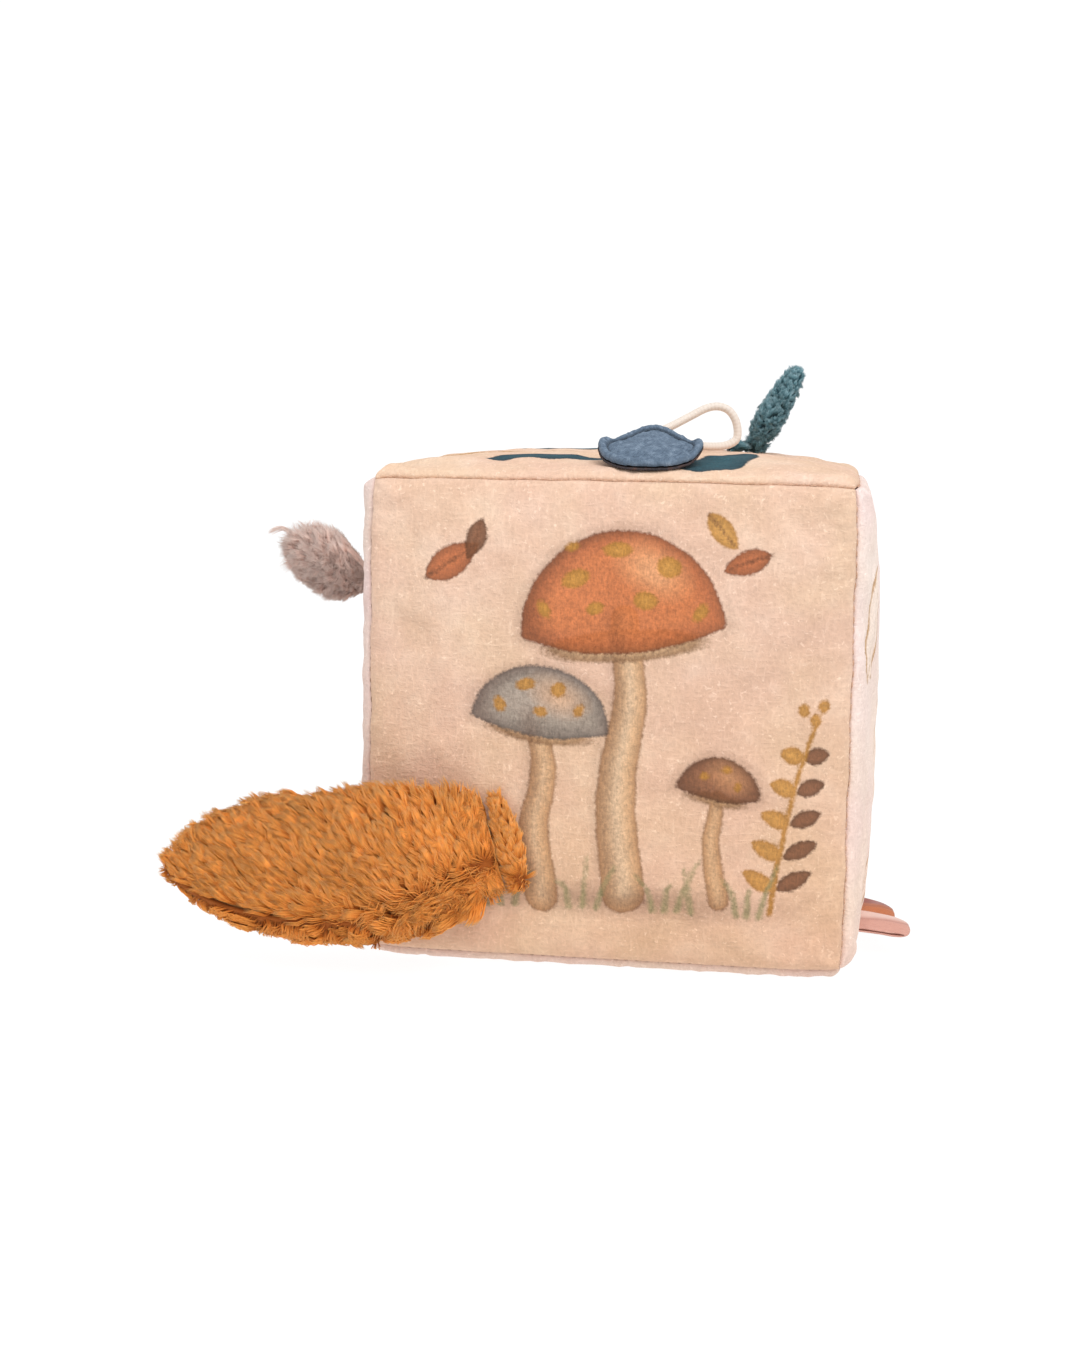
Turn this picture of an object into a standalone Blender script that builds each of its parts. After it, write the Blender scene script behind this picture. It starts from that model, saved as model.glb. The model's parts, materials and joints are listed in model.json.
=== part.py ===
# Soft fabric block: a baby's stuffed cotton cube. A plush tail hangs on its front, a small plush
# tail stands on its top and another on its left side, and it has a padded wing with a cord loop
# behind it on top and two satin ribbon tags low on its right side.
# Metres, +Z up, the front faces -Y. The origin is under the cube's centre, where it rests.

import math

import bmesh
import bpy
from mathutils import Matrix, Vector

MM = 0.001

# Clearances
CLEARANCE = 0.35 * MM  # a piece and the cloth that it lies on
SEAM_GAP = 0.32 * MM  # two sewn pieces, face to face
STUFFING_GAP = 0.4 * MM  # stuffing and the cloth round it

# Cover, six cotton panels
BLOCK_EDGE = 140 * MM  # seam to seam
CLOTH = 1.2 * MM
SEAM_RISE = 2.7 * MM  # how fast the stuffed cloth swells up beside a seam
SEAM_REACH = 1.8 * MM  # over what width it does so
CROWN = 4 * MM  # the slow swell towards the middle of a panel
CROWN_POWER = 3.4
CORNER_DRAW = 1.8 * MM  # how far sewing draws each corner in, along each edge
CORNER_POWER = 10
SEAM_ALLOWANCE = 7 * MM  # cloth turned in at each seam
REST_CROWN = 0.3 * MM  # the bottom panel's own slow swell
REST_CUT = 0.5 * MM  # how deep the weight presses it flat
PANEL_CELLS = 12
HALF_EDGE = BLOCK_EDGE / 2
SEAM_HEIGHT = SEAM_RISE + REST_CROWN - REST_CUT  # bottom seams above the table
BLOCK_MIDDLE = SEAM_HEIGHT + HALF_EDGE

# Stuffing of the cube
FILLING_ROUND = 22 * MM
FILLING_CUTS = 7

# Front tail. Its root is sewn to the front panel along a slanted line.
FRONT_TAIL_LENGTH = 95 * MM
FRONT_TAIL_HEIGHT = 45.5 * MM
FRONT_TAIL_THICKNESS = 24 * MM
FRONT_TAIL_PILE = 5 * MM  # backing cloth with its pile
FRONT_TAIL_ROOT_LEFT = 31.6 * MM  # left of the middle of the front
FRONT_TAIL_ROOT_HEIGHT = 38 * MM  # above the table
FRONT_TAIL_SLANT = math.radians(14.5)
FRONT_TAIL_TURN_REACH = 50 * MM  # how soon the tail levels out from its slanted root
HEM_WIDTH = 7 * MM  # the tail's end beyond the sewn line
HEM_HEIGHT = 31 * MM
HEM_THICKNESS = 3.2 * MM
HEM_GAP = 1.8 * MM  # between the sewn line and the hem

# Top tail
TOP_TAIL_LENGTH = 28 * MM
TOP_TAIL_HEIGHT = 11 * MM
TOP_TAIL_THICKNESS = 12 * MM
TOP_TAIL_PILE = 3.4 * MM
TOP_TAIL_RIGHT = 36.3 * MM  # right of the middle of the top
TOP_TAIL_BACK = 20 * MM  # behind the middle of the top
TOP_TAIL_NECK = 2.6 * MM  # its round root, on whose middle it bends
TOP_TAIL_LEAN = math.radians(27)  # to the right of upright
TOP_TAIL_TURN_REACH = 3 * MM
TOP_HEM_WIDTH = 5.4 * MM
TOP_HEM_LENGTH = 11 * MM
TOP_HEM_THICKNESS = 2.5 * MM
TOP_HEM_GAP = 0.8 * MM

# Side tail
SIDE_TAIL_LENGTH = 28.5 * MM
SIDE_TAIL_HEIGHT = 20.5 * MM
SIDE_TAIL_THICKNESS = 18 * MM
SIDE_TAIL_PILE = 5 * MM
SIDE_TAIL_FORWARD = 35 * MM  # ahead of the middle of the left side
SIDE_TAIL_ROOT_HEIGHT = 108.5 * MM  # above the table
SIDE_TAIL_NECK = 3 * MM
SIDE_TAIL_RISE = math.radians(19)  # above level
SIDE_TAIL_TURN_REACH = 4 * MM

# Wing: a padded flap of two layers of cloth, turned and topstitched, sewn down at its front
WING_WIDTH = 30.4 * MM
WING_LENGTH = 26 * MM
WING_RIGHT = 9.6 * MM  # right of the middle of the top
WING_INSET = 2 * MM  # its front edge behind the front seam
WING_TILT = math.radians(21.5)
WING_EDGE = 2 * MM  # thickness of its turned edge
WING_SWELL = 1.2 * MM  # how far the padding lifts the face
WING_CLOTH = 0.84 * MM
WING_LIFT = 0.32 * MM  # the sewn edge above the top panel

# Cord loop
CORD_WIDTH = 2.5 * MM
CORD_CLEARANCE = 0.6 * MM  # under its ends
CORD_STEPS = 3  # points on the cord for each point of its route

# Ribbon tags, each a folded loop of satin
RIBBON_WIDTH = 13 * MM
RIBBON_CLOTH = 0.5 * MM
RIBBON_FOLD_STEPS = 20
RIBBON_TILT = math.radians(7)  # at the root, the back edge is higher
RIBBON_TWIST = math.radians(10)  # and towards the fold it hangs lower
RIBBON_SKEW = math.radians(7.5)  # the fold isn't quite square
RIBBON_CLEARANCE = 0.9 * MM
RIBBON_ROOT_HALF = 0.55 * MM  # the folded ends at the root, each side of the middle
RIBBON_SWELL = 0.9 * MM  # how far the fold opens beyond that
PINK_RIBBON_LENGTH = 14.3 * MM
PINK_RIBBON_DROOP = 1 * MM
PINK_RIBBON_FORWARD = 32 * MM  # ahead of the middle of the right side
PINK_RIBBON_HEIGHT = 9.4 * MM  # above the table
RUST_RIBBON_LENGTH = 9.8 * MM
RUST_RIBBON_DROOP = 1 * MM
RUST_RIBBON_FORWARD = 17 * MM
RUST_RIBBON_HEIGHT = 10 * MM

# A tail's form, in shares: height and thickness at the root, place of the widest point, shape of
# the tip
FRONT_TAIL_SHARES = {"root_high": 0.6, "root_thick": 0.045, "widest": 0.35, "tip": 0.6}
TOP_TAIL_SHARES = {"root_high": 0.47, "root_thick": 0.43, "widest": 0.4, "tip": 0.38}
SIDE_TAIL_SHARES = {"root_high": 0.29, "root_thick": 0.33, "widest": 0.55, "tip": 0.48}
TIP_POWER = 2.4
CAVITY_SHARES = (0.2, 0.93)  # where the stuffing starts and ends along a tail

# Right half of the wing's outline, from the middle of its front edge round to the middle of its
# back, as shares of its half width and its length
WING_OUTLINE_SHARES = (
    (0, 0),
    (0.45, 0.03),
    (0.8, 0.18),
    (0.95, 0.34),
    (1, 0.5),
    (0.94, 0.63),
    (0.78, 0.66),
    (0.55, 0.77),
    (0.28, 0.93),
    (0, 1),
)
# Rings of the wing's face: size as a share of the outline, height as a share of the swell. The
# third is the sunk line of topstitching.
WING_RING_SHARES = ((1, 0), (0.94, 0.4), (0.82, 0.05), (0.7, 0.65), (0.4, 0.95))
WADDING_RING_SHARES = ((0.67, 0.5), (0.4, 0.95))

# Route of the cord loop between its two ends, which stand on the top panel: right and behind the
# middle of the top and above the top seams.
CORD_ROUTE = (
    (2 * MM, -30 * MM, 11 * MM),
    (6 * MM, -24.5 * MM, 12.4 * MM),
    (11.3 * MM, -19 * MM, 14.6 * MM),
    (17.4 * MM, -15 * MM, 18 * MM),
    (22 * MM, -13 * MM, 20.5 * MM),
    (25.6 * MM, -12 * MM, 21.2 * MM),
    (28.8 * MM, -11.4 * MM, 20.2 * MM),
    (31 * MM, -11 * MM, 17.4 * MM),
    (31.9 * MM, -10.8 * MM, 13.6 * MM),
    (31.2 * MM, -11.2 * MM, 10.8 * MM),
    (27.8 * MM, -13 * MM, 9.2 * MM),
    (22.6 * MM, -17 * MM, 9 * MM),
    (18.6 * MM, -22.6 * MM, 9.6 * MM),
    (16.2 * MM, -28 * MM, 10.4 * MM),
)
CORD_LEFT_END = (0.6 * MM, -32 * MM)  # right and behind the middle of the top
CORD_RIGHT_END = (15.2 * MM, -31.6 * MM)
CORD_STAND = 1.8 * MM  # how far it goes straight up from its ends
CORD_HINGE = 1 * MM  # how far above its ends it bends
CORD_PINCH_SHARE = 0.45  # of its width, where the stitches pinch its ends

# Unit directions of the block's sides
RIGHT = Vector((1, 0, 0))
BACK = Vector((0, 1, 0))
UP = Vector((0, 0, 1))


def clear_scene():
    for obj in list(bpy.data.objects):
        bpy.data.objects.remove(obj, do_unlink=True)


def make_material(name, colour, roughness):
    """A plain fabric finish; colour is an sRGB hex value."""
    channels = [int(colour[place : place + 2], 16) / 255 for place in (1, 3, 5)]
    linear = [((c + 0.055) / 1.055) ** 2.4 if c > 0.04045 else c / 12.92 for c in channels]
    material = bpy.data.materials.new(name)
    material.use_nodes = True
    shader = material.node_tree.nodes["Principled BSDF"]
    shader.inputs["Base Color"].default_value = (*linear, 1)
    shader.inputs["Roughness"].default_value = roughness
    shader.inputs["Metallic"].default_value = 0
    material.diffuse_color = (*linear, 1)
    return material


def frame_matrix(along, across, normal, place):
    """A frame whose X, Y and Z axes are the first three vectors."""
    matrix = Matrix((along, across, normal)).transposed().to_4x4()
    matrix.translation = place
    return matrix


def add_pivot(name, matrix, collection):
    pivot = bpy.data.objects.new(name, None)
    pivot.empty_display_size = HEM_WIDTH
    pivot.matrix_world = matrix
    collection.objects.link(pivot)
    return pivot


def add_piece(name, mesh, colour, roughness, parent, collection, local=None):
    """Turns a bmesh into an object under its parent, in the parent's frame."""
    data = bpy.data.meshes.new(name)
    mesh.to_mesh(data)
    mesh.free()
    data.shade_smooth()
    data.set_sharp_from_angle(angle=math.radians(50))
    data.materials.append(make_material(name, colour, roughness))
    piece = bpy.data.objects.new(name, data)
    collection.objects.link(piece)
    piece.parent = parent
    piece.matrix_local = local or Matrix.Identity(4)
    return piece


def add_thickness(piece, thickness, side):
    """Gives an open sheet its thickness: side -1 grows it inwards, 0 both ways."""
    solidify = piece.modifiers.new("thickness", "SOLIDIFY")
    solidify.thickness = thickness
    solidify.offset = side
    solidify.use_even_offset = True


def face_up(mesh):
    """Turns an open sheet's faces the way that its highest face should look."""
    bmesh.ops.recalc_face_normals(mesh, faces=mesh.faces)
    highest = max(mesh.faces, key=lambda face: face.calc_center_median().z)
    if highest.normal.z < 0:
        bmesh.ops.reverse_faces(mesh, faces=mesh.faces)


def smooth_points(points, steps, closed):
    """Points on a smooth Catmull-Rom curve through the given ones."""
    points = [Vector(point) for point in points]
    count = len(points)
    if closed:
        padded = [points[-1], *points, points[0], points[1]]
        spans = count
    else:
        padded = [2 * points[0] - points[1], *points, 2 * points[-1] - points[-2]]
        spans = count - 1
    curve = []
    for index in range(spans):
        before, start, end, after = padded[index : index + 4]
        for step in range(steps):
            t = step / steps
            curve.append(
                (
                    2 * start
                    + (end - before) * t
                    + (2 * before - 5 * start + 4 * end - after) * t**2
                    + (3 * start - before - 3 * end + after) * t**3
                )
                / 2
            )
    if not closed:
        curve.append(points[-1])
    return curve


# Cover of the cube


def spread(share):
    """Draws evenly spaced places from -1 to 1 towards the ends, where a panel bends most."""
    return math.sin(share * math.pi / 2)


def seam_fade(share):
    """0 at a seam and nearly 1 a few reaches away from it."""
    return 1 - math.exp(-(1 - abs(share)) * HALF_EDGE / SEAM_REACH)


def slow_swell(u, v):
    return (1 - abs(u) ** CROWN_POWER) * (1 - abs(v) ** CROWN_POWER)


def panel_rise(u, v, crown):
    """How far a panel stands above its seams at u and v, from -1 to 1 across it."""
    return SEAM_RISE * seam_fade(u) * seam_fade(v) + crown * slow_swell(u, v)


def cover_height(across, along, crown=CROWN):
    """The same at distances from the panel's middle, measured from the cube's middle."""
    return HALF_EDGE + panel_rise(across / HALF_EDGE, along / HALF_EDGE, crown)


def make_panel(name, across, up, crown, colour, block, collection):
    """One panel: crowned, drawn in at its corners, with its seam allowances turned in."""
    mesh = bmesh.new()
    bmesh.ops.create_grid(mesh, x_segments=PANEL_CELLS, y_segments=PANEL_CELLS, size=1)
    half_gap = SEAM_GAP / math.sqrt(2)
    for vert in mesh.verts:
        u, v = spread(vert.co.x), spread(vert.co.y)
        draw = 1 - CORNER_DRAW / HALF_EDGE * abs(u * v) ** CORNER_POWER
        height = HALF_EDGE * draw + panel_rise(u, v, crown)
        height = min(height, HALF_EDGE + SEAM_HEIGHT) if crown == REST_CROWN else height
        sides = [math.copysign(half_gap, c) if abs(c) > 1 - SEAM_GAP / HALF_EDGE else 0 for c in (u, v)]
        vert.co = (HALF_EDGE * u * draw - sides[0], HALF_EDGE * v * draw - sides[1], height)
    border = [edge for edge in mesh.edges if edge.is_boundary]
    turned = bmesh.ops.extrude_edge_only(mesh, edges=border)["geom"]
    for vert in [item for item in turned if isinstance(item, bmesh.types.BMVert)]:
        vert.co *= 1 - SEAM_ALLOWANCE / (math.sqrt(2) * HALF_EDGE)
    face_up(mesh)
    matrix = frame_matrix(across, up, across.cross(up), Vector())
    panel = add_piece(name, mesh, colour, 0.9, block, collection, matrix)
    add_thickness(panel, CLOTH, -1)


def make_block_filling(block, collection):
    """Fibre stuffing that fills the cover up to its seam allowances."""
    mesh = bmesh.new()
    bmesh.ops.create_cube(mesh, size=2)
    bmesh.ops.subdivide_edges(mesh, edges=mesh.edges[:], cuts=FILLING_CUTS, use_grid_fill=True)
    size = HALF_EDGE + SEAM_RISE - CLOTH - STUFFING_GAP
    inner = size - FILLING_ROUND
    floor = -(HALF_EDGE + SEAM_HEIGHT - CLOTH - STUFFING_GAP)
    for vert in mesh.verts:
        shares = [spread(c) for c in vert.co]
        core = Vector([max(-inner, min(inner, size * c)) for c in shares])
        place = core + (size * Vector(shares) - core).normalized() * FILLING_ROUND
        for axis in range(3):
            if abs(shares[axis]) > max(abs(shares[axis - 1]), abs(shares[axis - 2])):
                swell = CROWN * slow_swell(shares[axis - 1], shares[axis - 2])
                place[axis] += math.copysign(swell, shares[axis])
        place.z = max(place.z, floor)
        vert.co = place
    add_piece("fibre_filling", mesh, "#F3EFE8", 1, block, collection)


# Stuffed plush tails. In a tail's frame X runs from root to tip, Y is its thickness and Z its
# height. A flat tail lies with its back on the plane Y = 0, and any other is centred on X.


def swell(t, root, neck, widest, tip):
    """Share of the full size at t along a tail: a round neck, up to 1, and down to 0 at the tip."""
    if t < neck:
        return root * math.sqrt(1 - (1 - t / neck) ** 2)
    if t < widest:
        return root + (1 - root) * math.sin(math.pi / 2 * (t - neck) / (widest - neck))
    return (1 - ((t - widest) / (1 - widest)) ** TIP_POWER) ** tip


def tail_middle(tail, t):
    """The middle of the tail's section at t."""
    shares = tail["shares"]
    x = tail["length"] * t
    z = math.tan(tail["turn"]) * (x - tail["reach"] * (1 - math.exp(-x / tail["reach"])))
    y = 0
    if tail["flat"]:
        t = min(t, shares["widest"])
        y = tail["thickness"] / 2 * swell(t, shares["root_thick"], 0, shares["widest"], 1)
    return Vector((x - tail["neck"], y, z))


def tail_surface(tail, place):
    """A place on the unit sphere, whose poles lie on X, moved to the tail's outside."""
    shares = tail["shares"]
    t = min(max((1 + place.x) / 2, 0), 1)
    across = Vector((0, place.y, place.z)).normalized()
    form = (tail["neck"] / tail["length"], shares["widest"], shares["tip"])
    thick = tail["thickness"] / 2 * swell(t, shares["root_thick"], *form)
    high = tail["height"] / 2 * swell(t, shares["root_high"], *form)
    return tail_middle(tail, t) + Vector((0, thick * across.y, high * across.z))


def tail_cavity(tail, place, gap):
    """The same place moved to the hollow inside the plush, smaller by the gap."""
    start, end = CAVITY_SHARES
    t = start + (end - start) * (1 + place.x) / 2
    inset = tail["pile"] + gap
    middle = tail_middle(tail, t)
    middle.x -= gap * place.x
    return middle + Vector((0, (tail["thickness"] / 2 - inset) * place.y, (tail["height"] / 2 - inset) * place.z))


def tail_sphere(tail):
    """A unit sphere with its poles on X and a meridian on the tail's seam."""
    mesh = bmesh.new()
    lie_down = Matrix.Rotation(tail["seam"], 4, "X") @ Matrix.Rotation(math.pi / 2, 4, "Y")
    around, along = tail["cells"]
    bmesh.ops.create_uvsphere(mesh, u_segments=around, v_segments=along, radius=1, matrix=lie_down)
    return mesh


def make_tail_half(name, tail, side, pivot, collection):
    """One of the two plush pieces of a tail, hollow where the stuffing goes."""
    across_seam = Matrix.Rotation(tail["seam"], 3, "X") @ UP * side
    mesh = tail_sphere(tail)
    other = [face for face in mesh.faces if face.calc_center_median().dot(across_seam) < 0]
    bmesh.ops.delete(mesh, geom=other, context="FACES")
    outside = list(mesh.verts)
    seam = [sorted(edge.verts, key=lambda vert: vert.co.x) for edge in mesh.edges if edge.is_boundary]
    inner = bmesh.ops.duplicate(mesh, geom=mesh.verts[:] + mesh.edges[:] + mesh.faces[:])["vert_map"]
    for vert in outside:
        inner[vert].co = tail_cavity(tail, vert.co, 0)
        vert.co = tail_surface(tail, vert.co)
    # Both halves meet in the same ruled surface between the outside and the hollow
    for root, tip in seam:
        mesh.faces.new((root, tip, inner[tip]))
        mesh.faces.new((root, inner[tip], inner[root]))
    bmesh.ops.recalc_face_normals(mesh, faces=mesh.faces)
    bmesh.ops.translate(mesh, verts=mesh.verts, vec=across_seam * SEAM_GAP / 2)
    add_piece(name, mesh, tail["colour"], 1, pivot, collection)


def make_tail(tail, halves, pivot, collection):
    for name, side in zip(halves, (1, -1)):
        make_tail_half(name, tail, side, pivot, collection)
    mesh = tail_sphere(tail)
    for vert in mesh.verts:
        vert.co = tail_cavity(tail, vert.co, STUFFING_GAP)
    add_piece(tail["name"] + "_filling", mesh, "#F3EFE8", 1, pivot, collection)


def make_front_tail(collection, block):
    """The big tail, and its hem, which stays sewn to the front when the tail is lifted."""
    below = FRONT_TAIL_ROOT_HEIGHT - BLOCK_MIDDLE
    ahead = cover_height(FRONT_TAIL_ROOT_LEFT, below) + CLEARANCE
    slant = Matrix.Rotation(-FRONT_TAIL_SLANT, 3, "Y")
    root = Vector((-FRONT_TAIL_ROOT_LEFT, -ahead, FRONT_TAIL_ROOT_HEIGHT))
    matrix = frame_matrix(slant @ -RIGHT, -BACK, slant @ UP, root)
    pivot = add_pivot("front_tail_pivot", matrix, collection)
    tail = {
        "name": "front_tail",
        "length": FRONT_TAIL_LENGTH,
        "height": FRONT_TAIL_HEIGHT,
        "thickness": FRONT_TAIL_THICKNESS,
        "pile": FRONT_TAIL_PILE,
        "shares": FRONT_TAIL_SHARES,
        "neck": 0,
        "turn": FRONT_TAIL_SLANT,
        "reach": FRONT_TAIL_TURN_REACH,
        "flat": True,
        "seam": math.radians(-45),
        "cells": (16, 14),
        "colour": "#C27638",
    }
    make_tail(tail, ("front_tail_upper", "front_tail_under"), pivot, collection)
    hem = (HEM_WIDTH, HEM_THICKNESS, HEM_HEIGHT)
    to_block = block.matrix_world.inverted() @ matrix
    make_hem("front_tail_hem", hem, HEM_GAP, tail["colour"], block, collection, to_block)


def make_hem(name, sizes, gap, colour, block, collection, to_block):
    """The end of a tail beyond its sewn line. In its frame X points to the tail and Y outwards."""
    width, thickness, height = sizes
    mesh = bmesh.new()
    bmesh.ops.create_uvsphere(mesh, u_segments=12, v_segments=10, radius=1)
    bmesh.ops.scale(mesh, verts=mesh.verts, vec=(width / 2, thickness / 2, height / 2))
    bmesh.ops.translate(mesh, verts=mesh.verts, vec=(-gap - width / 2, thickness / 2, 0))
    add_piece(name, mesh, colour, 1, block, collection, to_block)


def make_top_tail(collection, block):
    above = SEAM_HEIGHT + HALF_EDGE + cover_height(TOP_TAIL_RIGHT, TOP_TAIL_BACK) + CLEARANCE
    root = Vector((TOP_TAIL_RIGHT, TOP_TAIL_BACK, above + TOP_TAIL_NECK))
    pivot = add_pivot("top_tail_pivot", frame_matrix(UP, -BACK, RIGHT, root), collection)
    tail = {
        "name": "top_tail",
        "length": TOP_TAIL_LENGTH,
        "height": TOP_TAIL_HEIGHT,
        "thickness": TOP_TAIL_THICKNESS,
        "pile": TOP_TAIL_PILE,
        "shares": TOP_TAIL_SHARES,
        "neck": TOP_TAIL_NECK,
        "turn": TOP_TAIL_LEAN,
        "reach": TOP_TAIL_TURN_REACH,
        "flat": False,
        "seam": 0,
        "cells": (12, 12),
        "colour": "#5E757B",
    }
    make_tail(tail, ("top_tail_right", "top_tail_left"), pivot, collection)
    crease = Vector((TOP_TAIL_RIGHT - TOP_TAIL_NECK, TOP_TAIL_BACK, above))
    to_block = block.matrix_world.inverted() @ frame_matrix(RIGHT, UP, -BACK, crease)
    hem = (TOP_HEM_WIDTH, TOP_HEM_THICKNESS, TOP_HEM_LENGTH)
    make_hem("top_tail_hem", hem, TOP_HEM_GAP, tail["colour"], block, collection, to_block)


def make_side_tail(collection):
    above = SIDE_TAIL_ROOT_HEIGHT - BLOCK_MIDDLE
    out = cover_height(SIDE_TAIL_FORWARD, above) + CLEARANCE
    root = Vector((-out - SIDE_TAIL_NECK, -SIDE_TAIL_FORWARD, SIDE_TAIL_ROOT_HEIGHT))
    pivot = add_pivot("side_tail_pivot", frame_matrix(-RIGHT, -BACK, UP, root), collection)
    tail = {
        "name": "side_tail",
        "length": SIDE_TAIL_LENGTH,
        "height": SIDE_TAIL_HEIGHT,
        "thickness": SIDE_TAIL_THICKNESS,
        "pile": SIDE_TAIL_PILE,
        "shares": SIDE_TAIL_SHARES,
        "neck": SIDE_TAIL_NECK,
        "turn": SIDE_TAIL_RISE,
        "reach": SIDE_TAIL_TURN_REACH,
        "flat": False,
        "seam": 0,
        "cells": (14, 12),
        "colour": "#A78B82",
    }
    make_tail(tail, ("side_tail_upper", "side_tail_lower"), pivot, collection)


# Padded wing. In its frame X is its width, Y runs from its sewn front edge to its back.


def wing_outline():
    half = [Vector((x * WING_WIDTH / 2, y * WING_LENGTH, 0)) for x, y in WING_OUTLINE_SHARES]
    left = [Vector((-point.x, point.y, 0)) for point in reversed(half[1:-1])]
    return smooth_points(half + left, 2, closed=True)


def wing_sheet(rings, height):
    """An open sheet over the wing's outline, ring inside ring up to its middle."""
    outline = wing_outline()
    middle = Vector((0, WING_LENGTH / 2, 0))
    mesh = bmesh.new()
    bmesh.ops.create_circle(mesh, segments=len(outline), radius=1)
    mesh.verts.ensure_lookup_table()
    ring = mesh.verts[:]
    for number, (size, share) in enumerate(rings):
        if number:
            edges = [edge for edge in mesh.edges if set(edge.verts) <= set(ring)]
            geometry = bmesh.ops.extrude_edge_only(mesh, edges=edges)["geom"]
            grown = [item for item in geometry if isinstance(item, bmesh.types.BMVert)]
            ring = [min(grown, key=lambda new: (new.co - old.co).length) for old in ring]
        for vert, point in zip(ring, outline):
            vert.co = middle + (point - middle) * size
            vert.co.z = height(share)
    edges = [edge for edge in mesh.edges if set(edge.verts) <= set(ring)]
    geometry = bmesh.ops.extrude_edge_only(mesh, edges=edges)["geom"]
    last = [item for item in geometry if isinstance(item, bmesh.types.BMVert)]
    bmesh.ops.pointmerge(mesh, verts=last, merge_co=middle + UP * height(1))
    return mesh


def make_wing(collection):
    ahead = HALF_EDGE - WING_INSET
    above = SEAM_HEIGHT + HALF_EDGE + cover_height(WING_RIGHT, ahead) + WING_EDGE / 2 + WING_LIFT
    matrix = Matrix.Translation((WING_RIGHT, -ahead, above)) @ Matrix.Rotation(WING_TILT, 4, "X")
    pivot = add_pivot("wing_pivot", matrix, collection)
    half = WING_EDGE / 2

    mesh = wing_sheet(WING_RING_SHARES, lambda share: half + WING_SWELL * share)
    face_up(mesh)
    face = add_piece("wing_face", mesh, "#6A7A8C", 0.85, pivot, collection)
    add_thickness(face, WING_CLOTH, -1)

    mesh = wing_sheet(WING_RING_SHARES[:1] + WING_RING_SHARES[2:3], lambda share: -half)
    face_up(mesh)
    bmesh.ops.reverse_faces(mesh, faces=mesh.faces)
    backing = add_piece("wing_backing", mesh, "#6E4A44", 0.85, pivot, collection)
    add_thickness(backing, WING_CLOTH, -1)

    under = WING_CLOTH + SEAM_GAP
    mesh = wing_sheet(WADDING_RING_SHARES, lambda share: half - under + WING_SWELL * share)
    border = [edge for edge in mesh.edges if edge.is_boundary]
    geometry = bmesh.ops.extrude_edge_only(mesh, edges=border)["geom"]
    for vert in [item for item in geometry if isinstance(item, bmesh.types.BMVert)]:
        vert.co.z = under - half
    bmesh.ops.contextual_create(mesh, geom=[edge for edge in mesh.edges if edge.is_boundary])
    bmesh.ops.recalc_face_normals(mesh, faces=mesh.faces)
    add_piece("wing_wadding", mesh, "#F3EFE8", 1, pivot, collection)


# Cord loop


def make_cord_loop(collection):
    """A loop of round cord whose two ends stand on the top panel behind the wing."""
    seams = SEAM_HEIGHT + BLOCK_EDGE
    ends = []
    for right, behind in (CORD_LEFT_END, CORD_RIGHT_END):
        above = SEAM_HEIGHT + HALF_EDGE + cover_height(right, behind) + CORD_CLEARANCE
        ends.append(Vector((right, behind, above)))
    stands = [end + UP * CORD_STAND for end in ends]
    between = [Vector((x, y, z + seams)) for x, y, z in CORD_ROUTE]
    route = [ends[0], stands[0], *between, stands[1], ends[1]]
    points = smooth_points(route, CORD_STEPS, closed=False)
    pivot_place = (ends[0] + ends[1]) / 2 + UP * CORD_HINGE
    curve = bpy.data.curves.new("cord_loop", "CURVE")
    curve.dimensions = "3D"
    curve.bevel_depth = CORD_WIDTH / 2
    curve.bevel_resolution = 2
    curve.use_fill_caps = True
    spline = curve.splines.new("POLY")
    spline.points.add(len(points) - 1)
    for spot, point in zip(spline.points, points):
        spot.co = (*(point - pivot_place), 1)
        from_end = min((point - end).length for end in ends) / CORD_STAND
        spot.radius = min(1, CORD_PINCH_SHARE + (1 - CORD_PINCH_SHARE) * from_end)
    curve.materials.append(make_material("cord_loop", "#E8DCD0", 0.8))
    cord = bpy.data.objects.new("cord_loop", curve)
    collection.objects.link(cord)
    cord.parent = add_pivot("cord_loop_pivot", Matrix.Translation(pivot_place), collection)


# Ribbon tags. In a tag's frame X points out of the cube and Y is the ribbon's width.


def make_ribbon(name, length, droop, forward, height, colour, collection):
    """A tag of ribbon folded back on itself, slim at its root and round at its end."""
    out = cover_height(forward, height - BLOCK_MIDDLE) + RIBBON_CLEARANCE
    matrix = Matrix.Translation((out, -forward, height)) @ Matrix.Rotation(RIBBON_TILT, 4, "X")
    mesh = bmesh.new()
    line = []
    for step in range(RIBBON_FOLD_STEPS + 1):
        turn = 2 * math.pi * step / RIBBON_FOLD_STEPS
        share = (1 - math.cos(turn)) / 2
        half_gap = RIBBON_SWELL * math.sin(turn) * share + RIBBON_ROOT_HALF * math.cos(turn / 2)
        line.append(mesh.verts.new((length * share, -RIBBON_WIDTH / 2, -half_gap - droop * share**2)))
    edges = [mesh.edges.new(pair) for pair in zip(line, line[1:])]
    geometry = bmesh.ops.extrude_edge_only(mesh, edges=edges)["geom"]
    across = [item for item in geometry if isinstance(item, bmesh.types.BMVert)]
    bmesh.ops.translate(mesh, verts=across, vec=(0, RIBBON_WIDTH, 0))
    for vert in mesh.verts:
        share = vert.co.x / length
        vert.co.z -= vert.co.y * math.tan(RIBBON_TWIST) * share
        vert.co.x -= vert.co.y * math.tan(RIBBON_SKEW) * share
    bmesh.ops.recalc_face_normals(mesh, faces=mesh.faces)
    ribbon = add_piece(name, mesh, colour, 0.35, add_pivot(name + "_pivot", matrix, collection), collection)
    add_thickness(ribbon, RIBBON_CLOTH, 0)


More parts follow.
